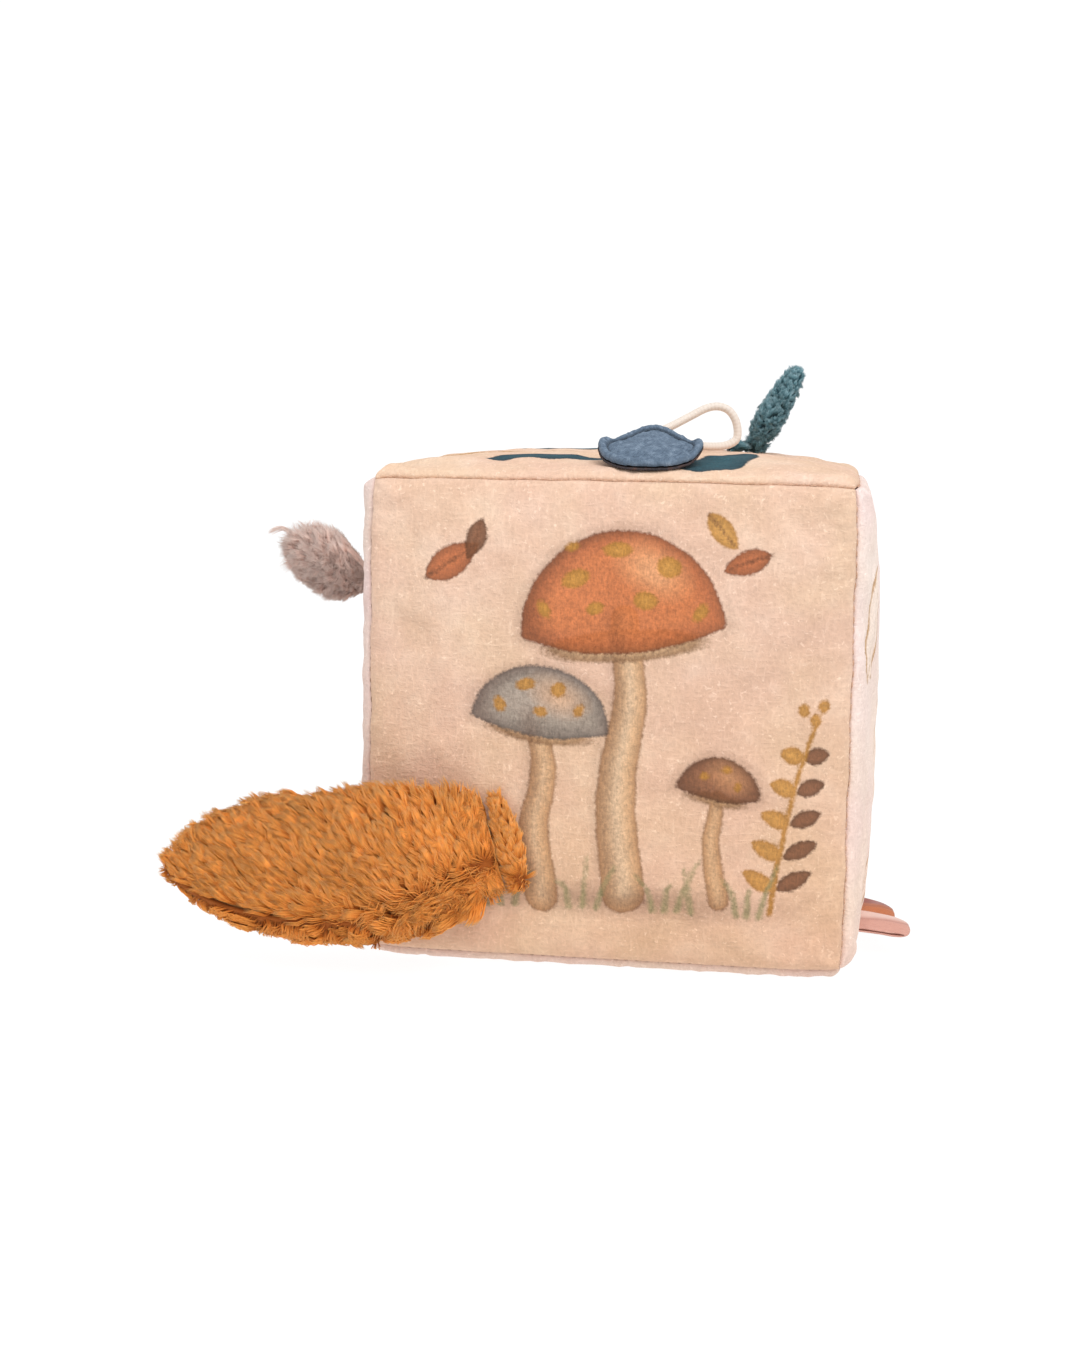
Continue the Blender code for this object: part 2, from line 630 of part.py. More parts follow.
def main():
    clear_scene()
    collection = bpy.data.collections.new("soft_fabric_block")
    bpy.context.scene.collection.children.link(collection)
    block = add_pivot("block_middle", Matrix.Translation((0, 0, BLOCK_MIDDLE)), collection)
    panels = (
        ("front_panel", RIGHT, UP, CROWN, "#E8C1A5"),
        ("back_panel", -RIGHT, UP, CROWN, "#E8C1A5"),
        ("left_panel", -BACK, UP, CROWN, "#F2DDD5"),
        ("right_panel", BACK, UP, CROWN, "#F2DDD5"),
        ("top_panel", RIGHT, BACK, CROWN, "#F9D7BF"),
        ("bottom_panel", RIGHT, -BACK, REST_CROWN, "#F2DDD5"),
    )
    for name, across, up, crown, colour in panels:
        make_panel(name, across, up, crown, colour, block, collection)
    make_block_filling(block, collection)
    make_front_tail(collection, block)
    make_top_tail(collection, block)
    make_side_tail(collection)
    make_wing(collection)
    make_cord_loop(collection)
    make_ribbon(
        "pink_ribbon",
        PINK_RIBBON_LENGTH,
        PINK_RIBBON_DROOP,
        PINK_RIBBON_FORWARD,
        PINK_RIBBON_HEIGHT,
        "#DCA695",
        collection,
    )
    make_ribbon(
        "rust_ribbon",
        RUST_RIBBON_LENGTH,
        RUST_RIBBON_DROOP,
        RUST_RIBBON_FORWARD,
        RUST_RIBBON_HEIGHT,
        "#B9714A",
        collection,
    )


main()
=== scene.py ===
# Looks of the soft fabric block: a stuffed cotton cube with plush tails, a padded wing, a cord loop
# and two satin tags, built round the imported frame. Metres, the front faces -Y.
import json
import math
from functools import partial

import bpy
import numpy as np
from mathutils import Matrix, Vector
from mathutils.kdtree import KDTree


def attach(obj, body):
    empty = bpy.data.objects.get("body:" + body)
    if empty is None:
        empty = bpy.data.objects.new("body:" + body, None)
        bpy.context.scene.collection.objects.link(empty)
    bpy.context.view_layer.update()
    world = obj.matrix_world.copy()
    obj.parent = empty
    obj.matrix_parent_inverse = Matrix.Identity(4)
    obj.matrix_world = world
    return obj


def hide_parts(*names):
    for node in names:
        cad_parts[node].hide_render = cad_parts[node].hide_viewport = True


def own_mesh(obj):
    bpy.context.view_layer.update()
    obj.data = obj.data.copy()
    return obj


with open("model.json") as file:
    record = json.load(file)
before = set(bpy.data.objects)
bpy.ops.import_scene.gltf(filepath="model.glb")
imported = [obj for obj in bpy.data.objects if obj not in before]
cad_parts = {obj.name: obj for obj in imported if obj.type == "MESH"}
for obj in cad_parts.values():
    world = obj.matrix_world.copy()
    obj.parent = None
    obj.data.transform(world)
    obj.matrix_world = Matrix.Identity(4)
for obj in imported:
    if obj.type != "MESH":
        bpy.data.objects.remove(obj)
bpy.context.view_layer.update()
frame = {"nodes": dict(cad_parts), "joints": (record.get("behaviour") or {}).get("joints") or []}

mm = 0.001  # settings are in millimetres and degrees
white = (1, 1, 1, 1)


# Helpers for pieces

def deselectAll():
    if bpy.context.object and bpy.context.object.mode != "OBJECT":
        bpy.ops.object.mode_set(mode="OBJECT")
    bpy.ops.object.select_all(action="DESELECT")


def pickOnly(piece):
    deselectAll()
    piece.select_set(True)
    bpy.context.view_layer.objects.active = piece


def editAll(piece, *steps):  # mesh operators, run on everything in the piece
    pickOnly(piece)
    bpy.ops.object.mode_set(mode="EDIT")
    bpy.ops.mesh.select_all(action="SELECT")
    for step in steps:
        step()
    bpy.ops.object.mode_set(mode="OBJECT")


def newPiece(name, verts, faces, material):
    data = bpy.data.meshes.new(name)
    data.from_pydata([tuple(p) for p in verts], [], [tuple(f) for f in faces])
    data.validate()
    data.shade_smooth()
    if material:
        data.materials.append(material)
    piece = bpy.data.objects.new(name, data)
    bpy.context.scene.collection.objects.link(piece)
    return piece


def applyModifier(piece, kind, **settings):
    pickOnly(piece)
    modifier = piece.modifiers.new(kind.lower(), kind)
    for key, value in settings.items():
        setattr(modifier, key, value)
    bpy.ops.object.modifier_apply(modifier=modifier.name)


def storeValues(piece, name, values):
    attribute = piece.data.attributes.new(name, "FLOAT", "POINT")
    attribute.data.foreach_set("value", np.asarray(values, np.float32).ravel())


def storeMap(piece, places):  # where each point lies on the flat cloth, for the weave
    corners = np.zeros(len(piece.data.loops), np.int32)
    piece.data.loops.foreach_get("vertex_index", corners)
    layer = piece.data.uv_layers.new(name="cloth")
    layer.data.foreach_set("uv", places[corners].astype(np.float32).ravel())


def meshPoints(piece, what="co"):
    values = np.zeros(len(piece.data.vertices) * 3, np.float32)
    piece.data.vertices.foreach_get(what, values)
    return values.reshape(-1, 3).astype(float)


def standFor(piece, body, node):  # moves with its body and shows in place of its solid
    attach(piece, body)
    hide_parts(node)


def unit(vectors):
    return vectors / np.maximum(np.linalg.norm(vectors, axis=-1, keepdims=True), 1e-12)


def tilted(points, degrees, place):  # turned about X, then moved
    t = math.radians(degrees)
    turn = np.array([[1, 0, 0], [0, math.cos(t), -math.sin(t)], [0, math.sin(t), math.cos(t)]])
    return points @ turn.T + place


# A smooth random line, a sum of sines between two wavelengths
def waves(seed, longest, shortest, count=7):
    rng = np.random.default_rng(seed)
    lengths = np.geomspace(longest, shortest, count)
    phases = rng.uniform(0, 2 * np.pi, count)
    sizes = rng.uniform(0.6, 1, count)
    rows = list(zip(sizes, lengths, phases))
    return lambda s: sum(a * np.sin(2 * np.pi * s / w + p) for a, w, p in rows) / sizes.sum() * 1.6


# The same on a plane, with sines that run in random directions
def lumps(seed, longest, shortest, count=9):
    rng = np.random.default_rng(seed)
    lengths = np.geomspace(longest, shortest, count)
    turns = rng.uniform(0, 2 * np.pi, count)
    phases = rng.uniform(0, 2 * np.pi, count)
    rows = list(zip(turns, lengths, phases))
    return lambda a, b: sum(
        np.sin(2 * np.pi * (a * np.cos(t) + b * np.sin(t)) / w + p) for t, w, p in rows
    ) / count * 1.8


# Quads between the neighbours of a grid of point numbers
def gridFaces(grid, flip=False):
    corners = [grid[:-1, :-1], grid[1:, :-1], grid[1:, 1:], grid[:-1, 1:]]
    if flip:
        corners = [corners[k] for k in (0, 3, 2, 1)]
    return np.stack(corners, -1).reshape(-1, 4)


def ringGrid(rows, around):  # numbers of points in closed rings, the first of each repeated at its end
    grid = np.arange(rows * around).reshape(rows, around)
    return np.hstack([grid, grid[:, :1]])


# Catmull-Rom through the points, steps to each span
def smoothLine(points, steps, closed=False):
    points = np.asarray(points, float)
    if closed:
        padded = np.vstack([points[-1:], points, points[:2]])
    else:
        padded = np.vstack([2 * points[:1] - points[1:2], points, 2 * points[-1:] - points[-2:-1]])
    line = []
    for i in range(len(padded) - 3):
        before, start, end, after = padded[i : i + 4]
        square = 2 * before - 5 * start + 4 * end - after
        cube = 3 * start - before - 3 * end + after
        for t in np.arange(steps) / steps:
            line.append((2 * start + (end - before) * t + square * t**2 + cube * t**3) / 2)
    if not closed:
        line.append(points[-1])
    return np.array(line)


def lengthsAlong(line):
    return np.concatenate([[0], np.cumsum(np.linalg.norm(np.diff(line, axis=0), axis=1))])


# Rings of points round a line, carried along it without twist, and the faces between them
def tubeAround(line, radii, around):
    tangents = unit(np.gradient(line, axis=0))
    side = np.cross(tangents[0], [0.3, 1, 0.2])
    sides = []
    for tangent in tangents:
        side = side - tangent * side.dot(tangent)
        side = side / np.linalg.norm(side)
        sides.append(side)
    sides = np.array(sides)
    ups = np.cross(tangents, sides)
    angles = (np.arange(around) / around * 2 * np.pi)[None, :, None]
    rings = line[:, None] + radii[:, :, None] * (np.cos(angles) * sides[:, None] + np.sin(angles) * ups[:, None])
    grid = ringGrid(len(line), around)
    faces = [tuple(f) for f in gridFaces(grid, True)]
    faces += [tuple(grid[0, -2::-1]), tuple(grid[-1, :-1])]  # the two ends
    return rings.reshape(-1, 3), faces


# One short tube for each stitch, thinner where it goes into the cloth
def stitchTubes(lines, width, taper):
    verts, faces, start = [], [], 0
    for line in lines:
        points, around = tubeAround(line, np.full((len(line), 6), width / 2) * taper[:, None], 6)
        verts.append(points)
        faces += [tuple(i + start for i in f) for f in around]
        start += len(points)
    return np.vstack(verts), faces


# Helpers for materials

def linearColour(hexColour):
    channels = [int(hexColour[i : i + 2], 16) / 255 for i in (1, 3, 5)]
    return (*[((c + 0.055) / 1.055) ** 2.4 if c > 0.04045 else c / 12.92 for c in channels], 1)


# Each input takes a link, a hex colour or a plain value
def setInputs(owner, node, inputs):
    for key, value in inputs.items():
        if isinstance(value, bpy.types.NodeSocket):
            owner.node_tree.links.new(value, node.inputs[key])
        else:
            node.inputs[key].default_value = linearColour(value) if isinstance(value, str) else value


# Adds a node and gives back one of its outputs. Inputs come in order, or by name or number (a MapRange
# has its value, from low, from high, to low, to high); stops are a colour ramp's.
def addNode(owner, kind, inputs=(), out=0, stops=None, **settings):
    node = owner.node_tree.nodes.new("ShaderNode" + kind)
    for key, value in settings.items():
        setattr(node, key, value)
    setInputs(owner, node, inputs if isinstance(inputs, dict) else dict(enumerate(inputs)))
    if stops:
        elements = node.color_ramp.elements
        while len(elements) > 1:
            elements.remove(elements[-1])
        elements[0].position, elements[0].color = stops[0][0], linearColour(stops[0][1])
        for place, colour in stops[1:]:
            elements.new(place).color = linearColour(colour)
    return node.outputs[out]


def setShader(material, inputs):
    setInputs(material, material.node_tree.nodes["Principled BSDF"], inputs)


def newMaterial(name, roughness=0.9, sheen=0.0, sheenColour="#FFFFFF", specular=0.3):
    material = bpy.data.materials.new(name)
    material.use_nodes = True
    setShader(material, {"Roughness": roughness, "Specular IOR Level": specular})
    setShader(material, {"Sheen Weight": sheen, "Sheen Roughness": 0.6, "Sheen Tint": sheenColour})
    return material, partial(addNode, material)


def threadMaterial(name, roughness, specular, scale, tones):
    # Sewing thread, cotton or polyester, spun and twisted: a little shiny, with light and dark turns
    material, add = newMaterial(name, roughness=roughness, specular=specular)
    twist = add("TexNoise", {"Vector": add("TexCoord", out="Object"), "Scale": scale})
    setShader(material, {"Base Color": add("ValToRGB", [twist], stops=list(zip((0.3, 0.7), tones)))})
    return material


# Camera, as the photograph was taken

cameraSettings = {
    "right": 67.1, "ahead": 634.7, "height": 159.7,
    "down": 7.36, "left": 8.72, "roll": 0.93, "lens": 53.333, "sensor": 36,
}


def addCamera():
    s = cameraSettings
    down, left, roll = (math.radians(s[k]) for k in ("down", "left", "roll"))
    sight = Vector((-math.sin(left) * math.cos(down), math.cos(left) * math.cos(down), -math.sin(down)))
    level = Vector((math.cos(left), math.sin(left), 0))
    upright = level.cross(sight)
    right = math.cos(roll) * level + math.sin(roll) * upright
    up = math.cos(roll) * upright - math.sin(roll) * level
    matrix = Matrix((right, up, -sight)).transposed().to_4x4()
    matrix.translation = Vector((s["right"], -s["ahead"], s["height"])) * mm
    bpy.ops.object.camera_add()
    camera = bpy.context.object
    camera.name = "camera"
    camera.matrix_world = matrix
    camera.data.lens, camera.data.sensor_width, camera.data.clip_start = s["lens"], s["sensor"], 0.01
    bpy.context.scene.camera = camera


addCamera()
print("camera done")


# Cord loop: a round cotton cord, both ends sewn into the top behind the wing

cordSettings = {
    "width": 2.5, "around": 16, "perSpan": 14, "plait": 2.4, "relief": 0.014, "pinch": 0.45, "stand": 1.8,
}
cordRoute = [  # the cord's middle, as in the part's source
    (0.6, -32, 149.516), (0.6, -32, 151.316), (2, -30, 153.5), (6, -24.5, 154.9), (11.3, -19, 157.1),
    (17.4, -15, 160.5), (22, -13, 163), (25.6, -12, 163.7), (28.8, -11.4, 162.7), (31, -11, 159.9),
    (31.9, -10.8, 156.1), (31.2, -11.2, 153.3), (27.8, -13, 151.7), (22.6, -17, 151.5), (18.6, -22.6, 152.1),
    (16.2, -28, 152.9), (15.2, -31.6, 151.290), (15.2, -31.6, 149.490),
]


def cottonCordMaterial():
    # Cotton cord, plaited and unbleached: matt, with soft grooves between its strands
    material, add = newMaterial("plaited cotton cord", roughness=0.85, sheen=0.25)
    groove = add("Attribute", out="Fac", attribute_name="groove")
    fibre = add("TexNoise", {"Vector": add("TexCoord", out="Object"), "Scale": 1800, "Detail": 3})
    # Painted shade: the grooves between the strands are coloured darker than the strands' crowns
    strands = add("ValToRGB", [groove], stops=[(0, "#DDD2C8"), (0.5, "#E8DFD6"), (1, "#EEE7E0")])
    colour = add("Mix", {0: fibre, 6: strands, 7: "#F4EDE6"}, 2, data_type="RGBA", blend_type="MULTIPLY")
    bump = add("Bump", {"Height": fibre, "Strength": 0.4, "Distance": 0.0001})
    setShader(material, {"Base Color": colour, "Normal": bump})
    return material


def makeCord():
    s = cordSettings
    line = smoothLine(cordRoute, s["perSpan"])
    steps = lengthsAlong(line)
    length = steps[-1]
    fromEnd = np.minimum(steps, length - steps) / s["stand"]
    share = np.minimum(1, s["pinch"] + (1 - s["pinch"]) * fromEnd)
    angles = np.arange(s["around"])[None] / s["around"] * 2 * np.pi
    turn = (2 * np.pi * steps / s["plait"])[:, None]
    plait = np.sin(2 * angles + turn) * np.sin(2 * angles - turn)  # two sets of strands, wound opposite ways
    radii = (s["width"] / 2 + s["relief"] * (plait - 0.3)) * share[:, None]
    verts, faces = tubeAround(line, radii, s["around"])
    cord = newPiece("cord_loop_cord", verts * mm, faces, cottonCordMaterial())
    # Where the grooves lie, for the painted shade in them
    storeValues(cord, "groove", 0.5 + 0.5 * plait)
    standFor(cord, "cord", "cord_loop")
    print("cord done, %.1f mm long" % length)


makeCord()


# Cotton cover: six panels sewn edge to edge over the stuffing. Half is half the cube of its seams,
# and each reach is how far from a seam a form fades.

coverSettings = {
    "half": 70.0, "cloth": 0.9, "allowance": 7.0, "frontCells": 184, "cells": 120, "restCells": 92,
    "seamHeight": 2.5, "seamRise": 2.7, "seamReach": 1.8, "seamGap": 0.32, "gapReach": 0.3,
    "seamSink": 0.55, "sinkReach": 0.55, "wander": 0.3, "wanderWaves": (33, 8), "wanderFrom": (1, 12),
    "crown": 4.0, "crownPower": 3.4, "restCrown": 0.3, "lumps": 0.26, "lumpWaves": (62, 17), "lumpReach": 12,
    "cornerDraw": 0.9, "cornerPower": 10, "cornerFold": 0.95, "cornerReach": 9, "cornerFrom": 5,
    "pucker": 0.26, "puckerReach": 2.6, "puckerWaves": (17, 3.6), "crowding": 0.62, "inkReach": 9,
    "stitchPitch": 3.1, "stitchLong": 2.1, "stitchFrom": 4.5, "stitchSpread": 0.12, "stitchRise": 0.1,
    "stitchSink": 0.12, "thread": 0.42, "threadTaper": (0.35, 0.9, 1, 0.9, 0.35),
}
clothSettings = {  # the cloth simulation, and the sine waves that its folds are kept as
    "cells": 40, "frames": 18, "quality": 6, "stiffness": 15, "shear": 5, "bending": 0.5,
    "pressure": 4.0, "growth": -0.03, "cap": 0.45, "waves": 24, "slowest": 3.5,
}
coverMiddle = coverSettings["seamHeight"] + coverSettings["half"]


# How far a panel stands out of the seams' cube, and its share of the way out of its seams' dips
def crowned(u, v, crown):
    s = coverSettings
    fadeU, fadeV = (1 - np.exp(-(1 - np.abs(w)) * s["half"] / s["seamReach"]) for w in (u, v))
    swell = (1 - np.abs(u) ** s["crownPower"]) * (1 - np.abs(v) ** s["crownPower"])
    return s["seamRise"] * fadeU * fadeV + crown * swell, np.minimum(fadeU, fadeV)


# How far the front of the cover stands ahead of the block's middle
def coverFront(x, z):
    half = coverSettings["half"]
    u, v = np.clip(x / half, -1, 1), np.clip((z - coverMiddle) / half, -1, 1)
    return half + crowned(u, v, coverSettings["crown"])[0]


# Points of a panel about the block's middle: across, up, out
def panelPoints(u, v, crown, seed):
    s = coverSettings
    half = s["half"]
    draw = 1 - s["cornerDraw"] / half * np.abs(u * v) ** s["cornerPower"]
    stand, fade = crowned(u, v, crown)
    across, up, out = half * u * draw, half * v * draw, half * draw + stand
    toU, toV = (1 - np.abs(u)) * half, (1 - np.abs(v)) * half
    # Puckers that run in from the seams
    for number, (distance, here, along) in enumerate(((toU, u, v), (toV, v, u))):
        shape = distance / s["puckerReach"] * np.exp(1 - distance / s["puckerReach"])
        for side in (-1, 1):
            line = waves(seed + 10 * number + side, *s["puckerWaves"])(along * half)
            out = out + (here * side > 0) * s["pucker"] * line * shape
    # Folds at the corners, soft lumps of stuffing and the sunk seams
    corner, turn = np.hypot(toU, toV), np.arctan2(toV, toU)
    fold = np.cos(6 * turn + seed) * np.exp(-corner / s["cornerReach"])
    fold = fold * np.minimum(1, corner / s["cornerFrom"]) * fade
    toSeam = np.minimum(toU, toV)
    out = out + s["cornerFold"] * fold
    out = out + s["lumps"] * lumps(seed, *s["lumpWaves"])(across, up) * np.minimum(1, toSeam / s["lumpReach"])
    sink = 1 - s["seamSink"] / half * np.exp(-toSeam / s["sinkReach"])
    across, up, out = across * sink, up * sink, out * sink
    if crown == s["restCrown"]:
        out = np.minimum(out, half + s["seamHeight"])  # the bottom lies on the table
    gap, edge = s["seamGap"] / math.sqrt(2), 1 - s["gapReach"] / half
    across = across - np.sign(u) * gap * (np.abs(u) > edge)
    up = up - np.sign(v) * gap * (np.abs(v) > edge)
    return np.stack([across, up, out], -1)


# Moves points a little by where they are, so that a seam wanders and its two panels stay together
def wandered(points):
    s = coverSettings
    x, y, z = points[..., 0], points[..., 1], points[..., 2]
    fields = ((71, z + 0.3 * x, y), (72, x + 0.3 * y, z), (73, x - 0.3 * z, y))
    move = np.stack([lumps(k, *s["wanderWaves"])(a, b) for k, a, b in fields], -1)
    low, height = s["wanderFrom"]  # the seams on the table stay straight
    return points + s["wander"] * move * np.clip((points[..., 2:] - low) / height, 0, 1)


def panelToBlock(points, across, up):
    out = np.cross(across, up)
    return points @ np.array([across, up, out], float) + [0, 0, coverMiddle]


# The middle of a sewn panel is blown up by cloth simulation with its seams pinned
def settledFolds(name, across, up, crown, seed):
    s = clothSettings
    count = s["cells"] + 1
    shares = np.linspace(-1, 1, count)
    v, u = np.meshgrid(shares, shares, indexing="ij")
    start = panelToBlock(panelPoints(u, v, crown, seed), across, up).reshape(-1, 3)
    grid = np.arange(count * count).reshape(count, count)
    trial = newPiece(name + "_trial", start * mm, gridFaces(grid, True), None)
    border = np.concatenate([grid[0], grid[-1], grid[1:-1, 0], grid[1:-1, -1]])
    trial.vertex_groups.new(name="seams").add([int(i) for i in border], 1, "REPLACE")
    pickOnly(trial)
    modifier = trial.modifiers.new("cloth", "CLOTH")
    cloth = modifier.settings
    cloth.vertex_group_mass, cloth.quality = "seams", s["quality"]
    cloth.tension_stiffness = cloth.compression_stiffness = s["stiffness"]
    cloth.shear_stiffness, cloth.bending_stiffness = s["shear"], s["bending"]
    cloth.shrink_min = s["growth"]
    cloth.use_pressure, cloth.uniform_pressure_force = True, s["pressure"]
    cloth.effector_weights.gravity = 0
    modifier.collision_settings.use_collision = False
    modifier.point_cache.frame_start, modifier.point_cache.frame_end = 1, s["frames"]
    for number in range(1, s["frames"] + 1):
        bpy.context.scene.frame_set(number)
    bpy.ops.object.modifier_apply(modifier=modifier.name)
    moved = ((meshPoints(trial) / mm - start) @ np.cross(across, up)).reshape(count, count)
    bpy.data.objects.remove(trial)
    bpy.context.scene.frame_set(1)
    numbers = np.arange(1, s["waves"] + 1)
    basis = np.sin(np.pi * (shares[:, None] + 1) / 2 * numbers)
    sizes = (2 / s["cells"]) ** 2 * basis.T @ moved @ basis
    slow = np.exp(-(numbers[:, None] ** 2 + numbers[None] ** 2) / s["slowest"] ** 2)
    print(name, "settled, moved", round(float(np.abs(moved).max()), 2), "mm")
    return sizes * (1 - slow)


def addFolds(points, shares, sizes):
    s = clothSettings
    basis = np.sin(np.pi * (shares[:, None] + 1) / 2 * np.arange(1, s["waves"] + 1))
    points[..., 2] += s["cap"] * np.tanh(basis @ sizes @ basis.T / s["cap"])
    return points


# Shapes of the prints, as distances that are below 0 inside

def turned(a, b, at, turn):
    t = math.radians(turn)
    x, y = a - at[0], b - at[1]
    return x * math.cos(t) + y * math.sin(t), y * math.cos(t) - x * math.sin(t)


def oval(a, b, at, size, turn=0):
    x, y = turned(a, b, at, turn)
    return (np.hypot(x / size[0], y / size[1]) - 1) * min(size)


def leaf(a, b, at, size, turn=0):  # from its foot; size is its length and half width
    x, y = turned(a, b, at, turn)
    share = x / size[0]
    width = size[1] * np.clip(4 * share * (1 - share), 0, 1) ** 0.8 * (1.15 - 0.35 * share)
    return np.maximum(np.abs(y) - width, np.maximum(-x, x - size[0]))


def stroke(a, b, points, width, endWidth):  # a line through the points, as a pen draws it
    line = smoothLine([(*p, 0) for p in points], 8)[:, :2]
    best = np.full(np.shape(a), 1e9)
    for p, q, half in zip(line[:-1], line[1:], np.linspace(width, endWidth, len(line)) / 2):
        d = q - p
        t = np.clip(((a - p[0]) * d[0] + (b - p[1]) * d[1]) / max(d.dot(d), 1e-9), 0, 1)
        best = np.minimum(best, np.hypot(a - p[0] - t * d[0], b - p[1] - t * d[1]) - half)
    return best


def vein(a, b, at, length, turn, width, endWidth):
    t = math.radians(turn)
    return stroke(a, b, [at, (at[0] + length * math.cos(t), at[1] + length * math.sin(t))], width, endWidth)


def cap(a, b, at, size, turn=0):  # a toadstool's: a dome over a shallow curved rim
    x, y = turned(a, b, at, turn)
    dome = (np.hypot(x / size[0], np.maximum(y, 0) / size[1]) - 1) * min(size)
    return np.maximum(dome, -y - size[1] * 0.2 * (1 - (x / size[0]) ** 2))


def joined(*shapes):
    return np.minimum.reduce(shapes)


def several(shape, a, b, rows):
    return joined(*[shape(a, b, *row) for row in rows])


# The woodland print of the front: toadstools, a fern, grass and falling leaves
frontDrawing = {
    "stems": (
        ([(5.5, 31), (7.5, 8), (4, -18), (6.5, -48)], 8, 13),
        ([(-19, 2), (-17, -15), (-19.5, -30), (-17, -50)], 6.5, 10),
        ([(33, -19), (31.5, -33), (34, -49)], 4.2, 6.2),
    ),
    "caps": (((5, 27), (29, 29), 5), ((-18.5, 0), (20, 17), -6), ((33, -18), (12, 10.5), -8)),
    "gills": (((5.5, 23.5), (23, 4.6), 5), ((-18.2, -2.2), (15, 3), -6), ((32.8, -19.6), (8.6, 1.9), -8)),
    "gillLines": (((5.5, 33), (5.5, 23.5), 22, 4.4, 15), ((-18.5, 4), (-18.2, -2.2), 14, 2.9, 11)),
    "capShades": (((9, 34), (28, 23), 5), ((-15.5, 4), (19, 13), -6), ((35, -15.5), (11.5, 8), -8)),
    "stemShades": ((3.4, 2.6, 4.4), (2.6, 2.2, 3.4)),
    "glows": (((13, 45), (9, 5.5), -28), ((-13, 8.5), (6, 3.4), -24), ((36, -13), (3.4, 2.2), -25)),
    "spots": (  # for each cap: its middle, how much its spots turn with the curve, and the spots
        (5, -1.6, ((-9, 42, 4, 2.6), (3, 50.5, 4.2, 2.2), (17.5, 46, 3.6, 3), (11, 36.5, 3.4, 2.6),
                   (-3, 34, 2.6, 1.8), (26.5, 33.5, 1.7, 3), (-17.5, 33, 1.6, 2.8), (-10, 51, 2, 1.3))),
        (-18, -2, ((-30, 5.5, 1.8, 2.4), (-22.5, 11.5, 2.9, 1.8), (-13, 10.5, 2.2, 2.2),
                   (-18, 4, 2.2, 1.6), (-7, 4.5, 1.5, 1.9))),
        (0, 0, ((29, -13, 1.4, 1.2), (35.5, -11, 1.6, 1.1), (38.5, -15.5, 1, 1.4))),
    ),
    "leaves": (((-52, 41), (18, 4.6), 34), ((46, 50), (14, 3.6), 200), ((28, 61), (13, 3.2), 312),
               ((-36, 58), (12, 3), 252)),
    "berries": (((59.8, 4), (1.7, 1.9)), ((56.5, 6.5), (1.7, 1.9)), ((62, 8), (1.7, 1.9))),
    "grass": (  # each blade's foot and its lean
        (-33, -6), (-29, -1), (-25, 5), (-9, -4), (-5, 1), (-1, 5), (15, -5),
        (18.5, 2), (22, 6), (26, -2), (39, -4), (42, 1), (45.5, 5),
    ),
}


def frontPrints(a, b):
    d = frontDrawing
    stem, gills = several(stroke, a, b, d["stems"]), several(oval, a, b, d["gills"])
    domes = [cap(a, b, *row) for row in d["caps"]]
    shades = [np.maximum(dome, -oval(a, b, *row)) for dome, row in zip(domes, d["capShades"])]
    shades.append(oval(a, b, (6, -50.5), (30, 3.4), -1))  # on the ground
    for (points, *_), (aside, *widths) in zip(d["stems"], d["stemShades"]):
        shades.append(np.maximum(stroke(a, b, [(x - aside, y) for x, y in points], *widths), stem))
    rays = []
    for middle, foot, reach, depth, count in d["gillLines"]:
        for share in (np.arange(count) + 0.5) / count * 2 - 1:
            x = foot[0] + reach * share
            y = foot[1] - depth * math.sqrt(1 - share**2) + share * reach * 0.08
            rays.append(stroke(a, b, [((middle[0] + x) / 2, (middle[1] + y) / 2), (x, y)], 0.5, 0.9))
    fern = [((50 + 1.7 * i, -45 + 9.5 * i), 11.5 - i) for i in range(5)]
    fernLeft = several(leaf, a, b, [(at, (size, 2.6), 28 - 4 * i) for i, (at, size) in enumerate(fern)])
    fernRight = several(leaf, a, b, [(at, (size - 0.5, 2.6), 152 + 4 * i) for i, (at, size) in enumerate(fern)])
    spots = [
        oval(a, b, (x, y), (rx, ry), bend * (x - middle)) for middle, bend, rows in d["spots"] for x, y, rx, ry in rows
    ]
    leaves = [leaf(a, b, *row) for row in d["leaves"]]
    blades = [
        ([(x, -53), (x + lean * 0.3, -47), (x + lean, -38 - (i * 5 % 4) * 2.4)], 1.9, 0.9)
        for i, (x, lean) in enumerate(d["grass"])
    ]
    return {
        "Stem": stem,
        "Gill": gills,
        "Line": np.maximum(joined(*rays), gills),
        "Rust": joined(domes[0], leaves[0], leaves[1]),
        "Grey": domes[1],
        "Brown": joined(domes[2], fernLeft, leaves[3]),
        "Shade": joined(*shades),
        "Glow": several(oval, a, b, d["glows"]),
        "Ochre": joined(
            *spots, fernRight, leaves[2], several(oval, a, b, d["berries"]),
            stroke(a, b, [(48.5, -52), (51.5, -30), (56, -10), (60, 3)], 1.7, 1.2),
        ),
        "Green": several(stroke, a, b, blades),
        "Vein": joined(*[vein(a, b, at, size[0] * 0.85, t, 1.0, 0.7) for at, size, t in d["leaves"]]),
    }


# Long teal leaves on a thin ochre stalk; the lowest has a rounded foot, clear of the seam
def topPrints(a, b):
    leaves = several(leaf, a, b, (
        ((-40, -53), (40, 5), 8), ((21, -80), (62, 8.5), 74), ((-10, 5), (40, 9), 150),
        ((14, 40), (32, 8), 60), ((-45, 20), (26, 6.5), 280), ((5, 45), (26, 6), 190),
    ))
    foot = -66 + 0.035 * (a - 26) ** 2 * (a > 0) - b
    stalk = stroke(a, b, [(-58, -40), (-40, -30), (-10, -20), (10, 0), (14, 20), (8, 50)], 1.6, 1.2)
    return {"Teal": np.maximum(leaves, foot), "Ochre": stalk}


